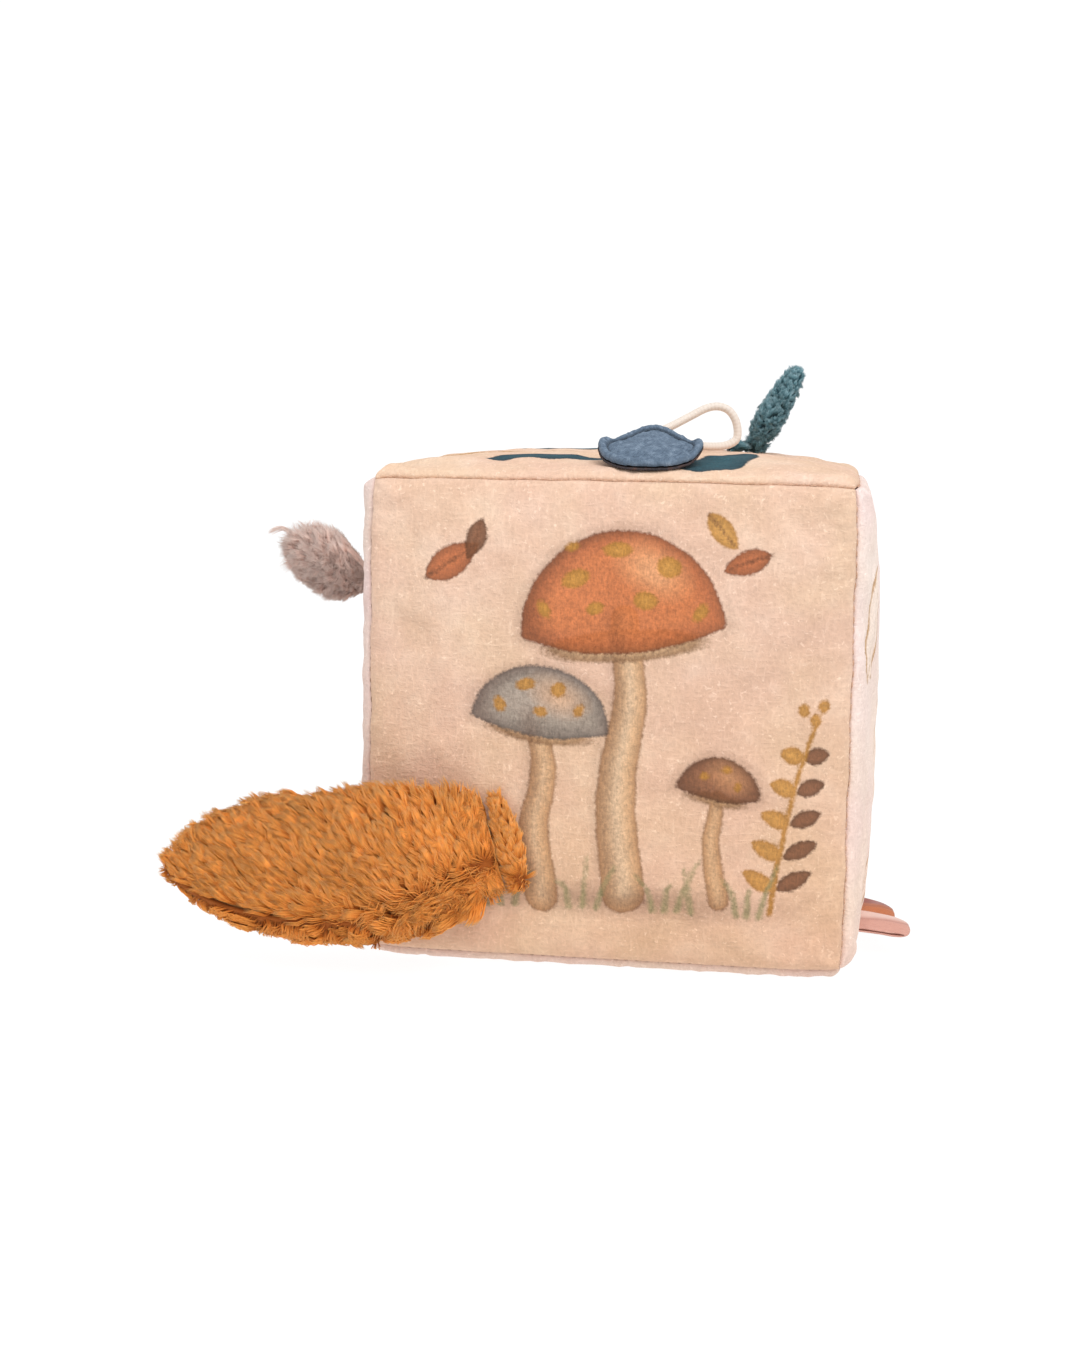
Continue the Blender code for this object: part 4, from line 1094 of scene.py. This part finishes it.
# Hair of a tail moved off the cover as it lies at rest and at both ends of a share of its joint's range
def withRoomToMove(body, clear, line):
    tail = tails[body]
    turn, root = tailFrame(tail)
    row = line @ turn.T + root
    found = next(j for j in frame["joints"] if j["name"] == tail["joint"])
    hinge = np.array(found["pos_m"]) / mm
    for angle in (*found["range_deg"], 0):
        swing = np.array(Matrix.Rotation(math.radians(angle * tail["rangeShare"]), 3, Vector(found["axis"])))
        row = (clear((row - hinge) @ swing.T + hinge) - hinge) @ swing + hinge
    return (row - root) @ turn


# The big tail: long hair combed to the tip and upwards on its upper piece, short curls on its under piece

rustPlush = plushMaterial("rust polyester plush", ("#C0661A", "#E68E38"), ("#F9AB56", "#FFC682"), "#8E4812")
longLocks = {
    "hairs": 33000, "parts": 3, "perLock": 13, "width": 0.33, "stray": 0.17, "uneven": 0.11, "toneSpread": 0.17,
    "lift": 0.76, "liftSpread": 0.06, "endLift": -0.1, "curl": 0.42, "lockWidth": 0.52, "gather": 0.62,
    "seamCover": 0.85, "seamReach": 2.8, "seamFade": 0.75, "rootFlat": 0.55, "rootReach": 1.2, "longest": 9.4,
}
shortCurls = {
    "hairs": 15000, "parts": 3, "perLock": 80, "width": 0.38, "stray": 0.7, "uneven": 0.14, "toneSpread": 0.17,
    "lift": 0.97, "liftSpread": 0.03, "endLift": -0.6, "curl": 0.7, "lockWidth": 0.66, "gather": 0.6,
    "seamCover": 0.6, "seamReach": 2.0, "seamFade": 0.8, "rootCalm": 0.85, "longest": 6.8,
}


def combedAt(turn):
    return np.stack([np.cos(turn), 0.1 + 0 * turn, np.sin(turn)], -1)


# Nearly upright at the sewn root, leaning more to the tip, and up again round the blunt tip
def combFrontUpper(tail, style, spots, normals):
    share = np.clip(spots[:, 0] / tail["length"], 0, 1)
    blunt = np.clip((share - 0.8) / 0.2, 0, 1)
    turn = 76 + 9 * np.exp(-share / 0.05) - 30 * np.clip(share / 0.8, 0, 1) ** 0.9 + 24 * blunt
    return combedAt(np.radians(turn + 15 * lumps(40, 27, 8)(spots[:, 0], spots[:, 2])))


def combFrontUnder(tail, style, spots, normals):
    share = np.clip(spots[:, 0] / tail["length"], 0, 1)
    turn = -20 - 20 * share - 30 * np.clip((share - 0.85) / 0.15, 0, 1) - 105 * np.exp(-share / 0.09)
    loose = 30 * lumps(41, 18, 6)(spots[:, 0], spots[:, 1]) * np.clip(share / 0.25, 0.2, 1)
    return combedAt(np.radians(turn + loose))


# Longest in the middle, with a fringe under the root, and short where it lies on the cover
def lengthFront(tail, style, spots, normals):
    share = np.clip(spots[:, 0] / tail["length"], 0, 1)
    length = style["longest"] * (0.82 + 0.18 * np.sin(np.pi * share))
    length = length * (1 - 0.25 * np.clip((share - 0.8) / 0.2, 0, 1)) * np.clip(0.7 + share / 0.1, 0, 1)
    length = length * (1 + 0.9 * np.exp(-share / 0.08) * (normals[:, 2] < -0.2))
    onCover = 0.35 + 0.65 * np.clip((spots[:, 0] - 42) / 6, 0, 1)
    return length * np.where(normals[:, 1] < -0.25, onCover, 1)


# Off the front panel, and over the hem, which the lifted tail presses flat
def clearOfFront(row, hemHeight=1.1):
    turn, root = tailFrame(tails["front_tail"])
    away = (row - root) @ turn
    overHem = (away[..., 0] < -0.9) & (away[..., 0] > -10) & (np.abs(away[..., 2]) < 18)
    onBlock = (np.abs(row[..., 0]) < 72) & (row[..., 2] < 142)
    limit = -(coverFront(row[..., 0], row[..., 2]) + 0.5 + hemHeight * overHem)
    row[..., 1] = np.where(onBlock, np.minimum(row[..., 1], limit), row[..., 1])
    return row


def keepOffFront(line):
    return keepHemOffFront(withRoomToMove("front_tail", clearOfFront, line))


def keepHemOffFront(line):
    turn, root = tailFrame(tails["front_tail"])
    row = clearOfFront(line @ turn.T + root, 0)
    row[..., 2] = np.maximum(row[..., 2], 0.4)  # and off the table
    return (row - root) @ turn


for name, side, style, combing, seed in (
    ("front_tail_upper", 1, longLocks, combFrontUpper, 1),
    ("front_tail_under", -1, shortCurls, combFrontUnder, 2),
):
    makePlush(name, "front_tail", side, rustPlush, style, combing, lengthFront, seed, keepOffFront)


# The side tail: soft rounded curls of taupe plush

taupePlush = plushMaterial("taupe polyester plush", ("#B08678", "#DEBAAC"), ("#F0D6CA", "#F8E6DD"), "#7E4C3B")
sideCurls = {
    "hairs": 15000, "parts": 2, "perLock": 26, "width": 0.19, "stray": 1.0, "uneven": 0.16, "toneSpread": 0.17,
    "lift": 0.9, "liftSpread": 0.07, "endLift": 0.45, "curl": 0.8, "lockWidth": 0.75, "gather": 0.36,
    "seamCover": 0.5, "seamReach": 1.5, "rootDark": 0.5, "longest": 5.6, "comb": (0.8, 0.6, 0.2),
}


def combSmall(tail, style, spots, normals):
    along, up, spread = style["comb"]
    return np.stack([np.full(len(spots), along), 0.15 * normals[:, 1], up + spread * normals[:, 2]], -1)


def lengthSide(tail, style, spots, normals):
    share = np.clip((spots[:, 0] + tail["neck"]) / tail["length"], 0, 1)
    up, under = normals[:, 2], np.clip(share - 0.5, 0, 1) * (normals[:, 2] < 0)
    return style["longest"] * (np.clip(0.85 + share / 0.25, 0, 1) + 0.42 * np.clip(up, -1, 1) - 0.2 * under)


def clearOfLeft(row):
    row[..., 0] = np.minimum(row[..., 0], -(coverFront(row[..., 1], row[..., 2]) + 0.8))
    return row


keepOffLeft = partial(withRoomToMove, "side_tail", clearOfLeft)
for name, side, seed in (("side_tail_upper", 1, 3), ("side_tail_lower", -1, 4)):
    makePlush(name, "side_tail", side, taupePlush, sideCurls, combSmall, lengthSide, seed, keepOffLeft)


# The top tail: dense short teal pile

tealPlush = plushMaterial("teal polyester plush", ("#28505A", "#446C76"), ("#6A929C", "#A9C2C8"), "#152F36")
# Its right side is painted lighter, for the key lamp that falls on it
topCurls = {
    "hairs": 13000, "parts": 2, "perLock": 26, "width": 0.21, "stray": 0.9, "uneven": 0.13, "toneSpread": 0.3,
    "lift": 0.92, "liftSpread": 0.05, "endLift": 0.35, "curl": 0.8, "lockWidth": 0.5, "gather": 0.6,
    "seamCover": 0.3, "seamReach": 0.8, "rootDark": 0.3, "sideLight": 0.28, "longest": 2.9, "comb": (1, 0, 0.25),
}


def lengthTop(tail, style, spots, normals):
    share = np.clip((spots[:, 0] + tail["neck"]) / tail["length"], 0, 1)
    return style["longest"] * (1 + 0.5 * np.exp(-share / 0.14)) * np.clip(0.4 + share / 0.12, 0, 1)


def clearOfTop(row):
    height = coverMiddle + coverFront(row[..., 0], row[..., 1] + coverMiddle) + 0.15
    row[..., 2] = np.maximum(row[..., 2], height)
    return row


keepOffTop = partial(withRoomToMove, "top_tail", clearOfTop)
for name, side, seed in (("top_tail_right", 1, 5), ("top_tail_left", -1, 6)):
    makePlush(name, "top_tail", side, tealPlush, topCurls, combSmall, lengthTop, seed, keepOffTop)


# Hems: the ends of the tails beyond the lines where they are sewn down, pressed flat under a moved tail

frontTail, topTail = tails["front_tail"], tails["top_tail"]
hems = {
    "front_tail_hem": {
        "place": frontTail["root"], "axes": [frontTail[k] for k in "xyz"], "joint": "front_tail_lift",
        "width": 7, "thickness": 3.2, "height": 31, "gap": 1.8, "tall": 0.86, "rise": -1.9, "narrow": 0.16,
        "hair": dict(longLocks, hairs=4600, longest=5.2, perLock=14, stray=0.2, lift=0.7, endLift=0.2),
    },
    "top_tail_hem": {
        "place": np.array(topTail["root"]) - [topTail["neck"], 0, topTail["neck"]],
        "axes": ((1, 0, 0), (0, 0, 1), (0, -1, 0)), "joint": "top_tail_bend",
        "width": 5.4, "thickness": 2.5, "height": 11, "gap": 0.8, "tall": 0.97, "rise": 0, "narrow": 0,
        "hair": dict(topCurls, hairs=3600, longest=3.6, lift=0.85, sideLight=0, rootDark=0),
    },
    "rows": 13, "around": 24, "keep": 0.15,
}


def combFrontHem(spots):
    across = 0.4 * np.clip((spots[:, 0] + 4) / 2, 0, 1) - 0.4 * np.clip((-5.5 - spots[:, 0]) / 2, 0, 1)
    up = 0.9 - 0.95 * np.clip((-7 - spots[:, 2]) / 6, 0, 1)
    return np.stack([0.12 + across, np.full(len(spots), 0.1), up], -1)


def combTopHem(spots):
    across = np.clip((spots[:, 0] + 3.6) / 1.2, -1, 1)
    return np.stack([across, np.full(len(spots), 0.5), 0.2 * np.sin(spots[:, 2])], -1)


def makeHem(name, comb, material, seed, fence):
    own, rng = hems[name], np.random.default_rng(seed)
    rows, around = hems["rows"], hems["around"]
    width, thickness, height, gap = (own[k] for k in ("width", "thickness", "height", "gap"))
    thetas, phis = np.linspace(0, np.pi, rows + 2)[1:-1], np.linspace(0, 2 * np.pi, around, endpoint=False)
    points = [(math.sin(a) * math.cos(p), math.sin(a) * math.sin(p), math.cos(a)) for a in thetas for p in phis]
    points = np.array(points + [(0, 0, 1), (0, 0, -1)])
    points = points * [width / 2 * 0.9, thickness / 2 * 0.8, height / 2 * own["tall"]]
    points = points + [-gap - width / 2, thickness / 2, own["rise"]]
    narrower = 1 - own["narrow"] - own["narrow"] * points[:, 2] / (height / 2)  # towards its upper end
    points[:, 0] = -gap + (points[:, 0] + gap) * narrower
    grid = ringGrid(rows, around)
    top, low = rows * around, rows * around + 1
    faces = [tuple(f) for f in gridFaces(grid)]
    faces += [(top, grid[0, j], grid[0, j + 1]) for j in range(around)]
    faces += [(low, grid[-1, j + 1], grid[-1, j]) for j in range(around)]
    spots, normals = scatterOn(points, faces, own["hair"]["hairs"], rng)
    keep = normals[:, 1] > -0.35
    spots, normals = spots[keep], normals[keep]
    lengths = np.full(len(spots), own["hair"]["longest"])
    hair = growHair(spots, normals, alongSurface(comb(spots), normals), lengths, own["hair"], rng, fence)
    origin = np.array(own["place"])
    piece = plushPiece(name, "block", points, faces, hair, np.column_stack(own["axes"]), origin, material, 0.4)
    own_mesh(piece)


makeHem("front_tail_hem", combFrontHem, rustPlush, 7, keepHemOffFront)
makeHem("top_tail_hem", combTopHem, tealPlush, 8, None)
print("tails done")


# Padded wing: two layers of cotton, turned, topstitched and sewn down at the front

wingSettings = {
    "width": 30.4, "length": 26.0, "edge": 2.0, "swell": 1.2, "cloth": 0.6, "tilt": 21.5,
    "place": (9.6, -68.0, 146.006), "rings": 34, "perSpan": 12, "stitch": 0.82, "wrinkle": 0.3,
    "thread": 0.32, "stitchLong": 1.7, "stitchGap": 0.7, "stitchArch": 0.16, "ear": 1.5, "earFrom": 0.78,
    "notch": 1.3, "notchAt": 0.74, "notchWide": 0.09, "dome": 0.9, "domeWide": 7.5, "peep": 0.05, "ragged": 0.012,
}
wingShares = [  # right half of its outline, in shares of half its width and of its length
    (0, 0), (0.45, 0.03), (0.8, 0.18), (0.95, 0.34), (1, 0.5), (0.94, 0.63), (0.78, 0.66), (0.55, 0.77),
    (0.28, 0.93), (0, 1),
]
wingMiddle = np.array([0, wingSettings["length"] / 2, 0])


def wingOutline():
    s = wingSettings
    half = [(x * s["width"] / 2, y * s["length"], 0) for x, y in wingShares]
    left = [(-x, y, 0) for x, y, _ in reversed(half[1:-1])]
    return smoothLine(half + left, s["perSpan"], closed=True)


# The whole wing's bend: ears turned up at its two sides, a dip beside each, a domed middle
def wingBend(x, y):
    s = wingSettings
    aside, back = np.abs(x) / (s["width"] / 2), np.clip(y / s["length"], 0, 1)
    ear = s["ear"] * np.clip((aside - s["earFrom"]) / (1 - s["earFrom"]), 0, 1) ** 1.5
    notch = s["notch"] * np.exp(-(((aside - s["notchAt"]) / s["notchWide"]) ** 2)) * back**2
    return ear - notch + s["dome"] * np.exp(-((x / s["domeWide"]) ** 2)) * back**1.5


# The face over the middle plane: a rolled rim, the sunk stitching, the padded middle, and wrinkles
def wingFaceHeight(size, angle):
    s = wingSettings
    stitch = s["stitch"]
    rim = np.clip((1 - size) / (1 - stitch), 0, 1)
    inner = np.clip((stitch - size) / stitch, 0, 1)
    roll, pad = np.sin(np.pi * rim) ** 0.6 * 0.95, 1.05 * (1 - (1 - inner) ** 3)
    height = s["edge"] / 2 - 0.75 * np.clip(1 - rim * 3.2, 0, 1) ** 2 + np.where(size > stitch, roll, pad) * s["swell"]
    radial = waves(31, 0.9, 0.16, 8)(angle) * np.exp(-(((size - 0.68) / 0.16) ** 2))
    x, y = size * np.cos(angle) * s["width"] / 2, size * np.sin(angle) * s["length"] / 2
    creases = (0.25 - np.abs(lumps(14, 20, 5)(x, y))) * np.clip((stitch - size) / 0.12, 0, 1)
    edge = waves(8, 0.6, 0.12, 6)(angle) * np.clip((size - stitch) / 0.05, 0, 1) * 0.5
    return height + s["wrinkle"] * (radial + 1.2 * creases + edge)


def wingUnderHeight(size, angle):
    rolled = 0.45 * np.clip(1 - (1 - size) / 0.05, 0, 1) ** 2
    hollow = 0.12 * np.clip((size - 0.2) / 0.5, 0, 1) * np.clip((0.95 - size) / 0.05, 0, 1)
    return -wingSettings["edge"] / 2 + rolled - hollow + 0.06 * waves(3, 0.8, 0.2)(angle) * size


def wingMaterial(name, light, base, dark, deep):
    # Cotton twill, woven and garment dyed: matt, with fine slanting ribs, paler where it is worn
    material, add = newMaterial(name, roughness=0.88, sheen=0.3, sheenColour=light, specular=0.2)
    place = add("TexCoord", out="Object")
    patch = add("TexNoise", {"Vector": place, "Scale": 520, "Detail": 5, "Roughness": 0.75})
    tone = add("ValToRGB", [patch], stops=[(0.32, dark), (0.5, base), (0.68, light)])
    # Painted shade: along the sunk topstitching line the colour goes to the deep one, for the shade in that groove
    sunk = add("Attribute", out="Fac", attribute_name="sunk")
    colour = add("Mix", {0: sunk, 6: tone, 7: deep}, 2, data_type="RGBA")
    # Twill ribs 0.8 mm apart, coarser than real so that they show
    slanted = add("Mapping", {"Vector": place, "Rotation": (0, 0, math.radians(35))})
    weave = {"Vector": slanted, "Scale": 400, "Distortion": 0.8, "Detail": 2}
    ribs = add("TexWave", weave, "Fac", bands_direction="X")
    bump = add("Bump", {"Height": add("Math", [ribs, patch]), "Strength": 0.7, "Distance": 0.0003})
    setShader(material, {"Base Color": colour, "Normal": bump})
    return material


def wingSheet(name, heightOf, material, upwards):
    s = wingSettings
    outline = wingOutline()
    stitch, middle, count = s["stitch"], wingMiddle, len(outline)
    sizes = np.concatenate([np.linspace(1, stitch, 13)[:-1], np.linspace(stitch, 0, s["rings"] - 12)[:-1]])
    angles = np.arctan2(outline[:, 1] - middle[1], outline[:, 0])
    wider = 1
    if not upwards:  # the backing peeps out a little at the front
        ragged = s["peep"] + s["ragged"] * waves(5, 0.5, 0.06, 9)(angles)[:, None]
        wider = 1 + ragged * np.clip(-(outline[:, 1:2] - middle[1]) / middle[1], 0, 1)
    rings, sunk = [], []
    for size in sizes:
        ring = middle + (outline - middle) * size * wider
        ring[:, 2] = heightOf(np.full(count, size), angles) + wingBend(ring[:, 0], ring[:, 1])
        rings.append(ring)
        # The sunk line's share, which carries its painted shade
        sunk.append(np.full(count, math.exp(-(((size - stitch) / 0.02) ** 2)) * 0.85 * upwards))
    top = heightOf(np.zeros(1), np.zeros(1))[0] + wingBend(0.0, middle[1])
    verts = np.vstack([*rings, [[0, middle[1], top]]])
    grid = ringGrid(len(sizes), count)
    faces = [tuple(f) for f in gridFaces(grid, True)]
    faces += [(grid[-1, j], grid[-1, j + 1], len(verts) - 1) for j in range(count)]
    if not upwards:
        faces = [tuple(reversed(f)) for f in faces]
    piece = newPiece(name, tilted(verts, s["tilt"], s["place"]) * mm, faces, material)
    storeValues(piece, "sunk", np.concatenate([*sunk, [0]]))
    applyModifier(piece, "SOLIDIFY", thickness=s["cloth"] * mm, offset=-1)
    return piece


# Topstitching: one stitch, whose copies lie in the sunk line
def makeTopstitching():
    s = wingSettings
    ring = wingMiddle + (wingOutline() - wingMiddle) * s["stitch"]
    closed = np.vstack([ring, ring[:1]])
    steps = lengthsAlong(closed)
    total = int(steps[-1] / (s["stitchLong"] + s["stitchGap"]))
    t = np.linspace(0, 1, 6)
    lines = []
    for k in range(total):
        at = ((k + 0.1) * steps[-1] / total + s["stitchLong"] * t) % steps[-1]
        x, y = np.interp(at, steps, closed[:, 0]), np.interp(at, steps, closed[:, 1])
        height = s["edge"] / 2 + 0.05 + s["stitchArch"] * np.sin(np.pi * t) + wingBend(x, y)
        lines.append(np.stack([x, y, height], -1))
    verts, faces = stitchTubes(lines, s["thread"], np.sin(np.linspace(0.45, math.pi - 0.45, 6)))
    thread = threadMaterial("polyester sewing thread", 0.55, 0.4, 2600, ("#36414D", "#5A6876"))
    stitches = newPiece("wing_stitching", tilted(verts, s["tilt"], s["place"]) * mm, faces, thread)
    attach(stitches, "wing")
    return stitches


def makeWing():
    # The last colour of each cloth is the painted shade of the sunk stitching line
    blue = wingMaterial("dyed cotton twill", "#8494A6", "#647588", "#4E5D6E", "#2E3843")
    face = wingSheet("wing_face_cloth", wingFaceHeight, blue, True)
    standFor(face, "wing", "wing_face")
    makeTopstitching()
    brown = wingMaterial("brushed cotton backing", "#5E4640", "#403A3C", "#2A2A2F", "#1E2024")
    backing = wingSheet("wing_backing_cloth", wingUnderHeight, brown, False)
    standFor(backing, "wing", "wing_backing")
    print("wing done")


makeWing()


# Satin tags: each a folded loop of ribbon sewn into the right panel

ribbonSettings = {
    "width": 13.0, "cloth": 0.4, "sewnIn": 1.2, "tilt": 7.0, "twist": 10.0, "skew": 7.5, "rootHalf": 0.45,
    "swell": 0.5, "droop": 1.0, "ripple": 0.1, "along": 96, "across": 40, "crease": -0.5, "creaseDeep": 0.25,
    "creaseWide": 0.7, "dip": 0.34, "round": 2.2, "roundFrom": 4.5,
}
# The far part's colour is painted shade on the rust tag and a painted highlight on the pink one
ribbons = {  # colours: light, middle, dark, and the far part's
    "pink_ribbon": {
        "body": "pink_tag", "length": 14.3, "root": (74.648, -32, 9.4),
        "colours": ("#E3B3A4", "#D39C8C", "#A96F62", "#E9C3B6"),
    },
    "rust_ribbon": {
        "body": "rust_tag", "length": 9.8, "root": (74.827, -17, 10.0),
        "colours": ("#D08A58", "#BF6A36", "#8A4226", "#93402F"),
    },
}


def satinMaterial(name, colours):
    # Satin ribbon, woven with long floats: glossy along its length, with very fine crosswise threads
    material, add = newMaterial(name, roughness=0.36, sheen=0.1, specular=0.5)
    light, base, dark, behind = colours
    uv = add("UVMap", uv_map="cloth")
    streaks = add("Mapping", {"Vector": uv, "Scale": (3, 60, 1)})
    noise = add("TexNoise", {"Vector": streaks, "Scale": 4, "Detail": 3})
    tone = add("ValToRGB", [noise], stops=[(0.25, dark), (0.5, base), (0.78, light)])
    # Painted light: the far, upper band takes its own colour, darker for painted shade on the rust tag and lighter for
    # a painted highlight on the pink one; painted shade darkens the crease
    far, crease = (add("Attribute", out="Fac", attribute_name=k) for k in ("far", "crease"))
    paintedCreaseShade = add("Math", [crease, 0.45], operation="MULTIPLY")
    colour = add("Mix", {0: far, 6: tone, 7: behind}, 2, data_type="RGBA")
    colour = add("Mix", {0: paintedCreaseShade, 6: colour, 7: dark}, 2, data_type="RGBA")
    # Crosswise threads 0.35 mm apart
    ribs = add("TexWave", {"Vector": uv, "Scale": 26, "Distortion": 0.4}, "Fac", bands_direction="X")
    bump = add("Bump", {"Height": ribs, "Strength": 0.35, "Distance": 0.00006})
    setShader(material, {"Base Color": colour, "Normal": bump, "Anisotropic": 0.5})
    return material


def makeRibbon(name):
    s, own = ribbonSettings, ribbons[name]
    turns = np.linspace(0, 2 * np.pi, s["along"] + 1)
    across = np.linspace(-1, 1, s["across"] + 1) * s["width"] / 2
    turn, y = np.meshgrid(turns, across, indexing="ij")
    share = (1 - np.cos(turn)) / 2
    x = (own["length"] + s["sewnIn"]) * share - s["sewnIn"] - y * math.tan(math.radians(s["skew"])) * share
    z = -(s["swell"] * np.sin(turn) * share + s["rootHalf"] * np.cos(turn / 2)) - s["droop"] * share**2
    z = z + s["ripple"] * np.sin(turn * 3 + y * 0.5) * share * (1 - share) * 4
    z = z - y * math.tan(math.radians(s["twist"])) * share
    # The front part is bent down along a soft crease, and the fold's corners are pulled back
    below = np.clip(s["crease"] - y, 0, None)
    sharp = np.exp(-(((y - s["crease"]) / s["creaseWide"]) ** 2))
    z = z - s["dip"] * below * np.clip(0.35 + share, 0, 1) - s["creaseDeep"] * sharp * share
    corner = np.clip((np.abs(y) - s["width"] / 2 + s["roundFrom"]) / s["roundFrom"], 0, 1)
    x = x - s["round"] * (1 - np.sqrt(1 - corner**2 * 0.999)) * share**3
    points = tilted(np.stack([x, y, z], -1).reshape(-1, 3), s["tilt"], own["root"])
    faces = gridFaces(np.arange(turn.size).reshape(turn.shape))
    material = satinMaterial(name.replace("_", " ") + " woven satin", own["colours"])
    piece = newPiece(name + "_satin", points * mm, faces, material)
    storeMap(piece, np.stack([turn / (2 * np.pi), y / s["width"] + 0.5], -1).reshape(-1, 2))
    # Where the far band and the crease lie, for the painted light and shade on them
    storeValues(piece, "far", np.clip(0.5 + (y - 1.2) / 3, 0, 1))
    storeValues(piece, "crease", np.exp(-(((y - s["crease"]) / 0.6) ** 2)))
    applyModifier(piece, "SOLIDIFY", thickness=s["cloth"] * mm, offset=0)
    standFor(piece, own["body"], name)


for name in ribbons:
    makeRibbon(name)
print("tags done")


# Floor and light. The backdrop is plain white; what it throws on the block is softer, so that the
# lamps give form.

studioSettings = {
    "floor": 8.0, "table": 0.94, "backdrop": 1.05, "ambient": 0.66,
    "suns": {"key light": ((0.45, -0.75, 1.2), 1.5, 45), "fill light": ((-0.9, -0.5, 0.6), 0.2, 60)},
    "aim": (0, 0, 0.07), "overhead": 0.42, "overheadPlace": (0.05, -0.25, 0.55), "overheadTilt": 24,
}


def addLamp(name, kind, place, power):
    bpy.ops.object.light_add(type=kind, location=place)
    lamp = bpy.context.object
    lamp.name = name
    lamp.data.energy = power
    return lamp


def makeStudio():
    s = studioSettings
    deselectAll()
    bpy.ops.mesh.primitive_plane_add(size=s["floor"], location=(0, 0, -0.0004))
    floor = bpy.context.object
    floor.name = "floor"
    # Light table: white acrylic lit from below, so that next to no shadow shows on it
    table, add = newMaterial("light table", roughness=1.0, specular=0.0)
    grain = add("TexNoise", {"Vector": add("TexCoord", out="Object"), "Scale": 40, "Detail": 2})
    tone = add("ValToRGB", [grain], stops=[(0.3, "#5C5C5C"), (0.7, "#606060")])
    setShader(table, {"Base Color": tone, "Emission Color": white, "Emission Strength": s["table"]})
    floor.data.materials.append(table)
    world = bpy.data.worlds.new("studio")
    world.use_nodes = True
    seen = addNode(world, "LightPath", out="Is Camera Ray")
    strength = addNode(world, "MapRange", [seen, 0, 1, s["ambient"], s["backdrop"]])
    setInputs(world, world.node_tree.nodes["Background"], {"Color": white, "Strength": strength})
    bpy.context.scene.world = world
    # One broad lamp high at the right and a weak one at the left, both as soft as a large softbox
    for name, (place, power, spread) in s["suns"].items():
        lamp = addLamp(name, "SUN", place, power)
        lamp.data.angle = math.radians(spread)
        lamp.rotation_euler = (Vector(s["aim"]) - Vector(place)).to_track_quat("-Z", "Y").to_euler()
    lamp = addLamp("overhead light", "AREA", s["overheadPlace"], s["overhead"])
    lamp.data.size = 0.5
    lamp.rotation_euler = (math.radians(s["overheadTilt"]), 0, 0)
    bpy.context.scene.view_settings.view_transform = "Standard"


makeStudio()
print("studio done")
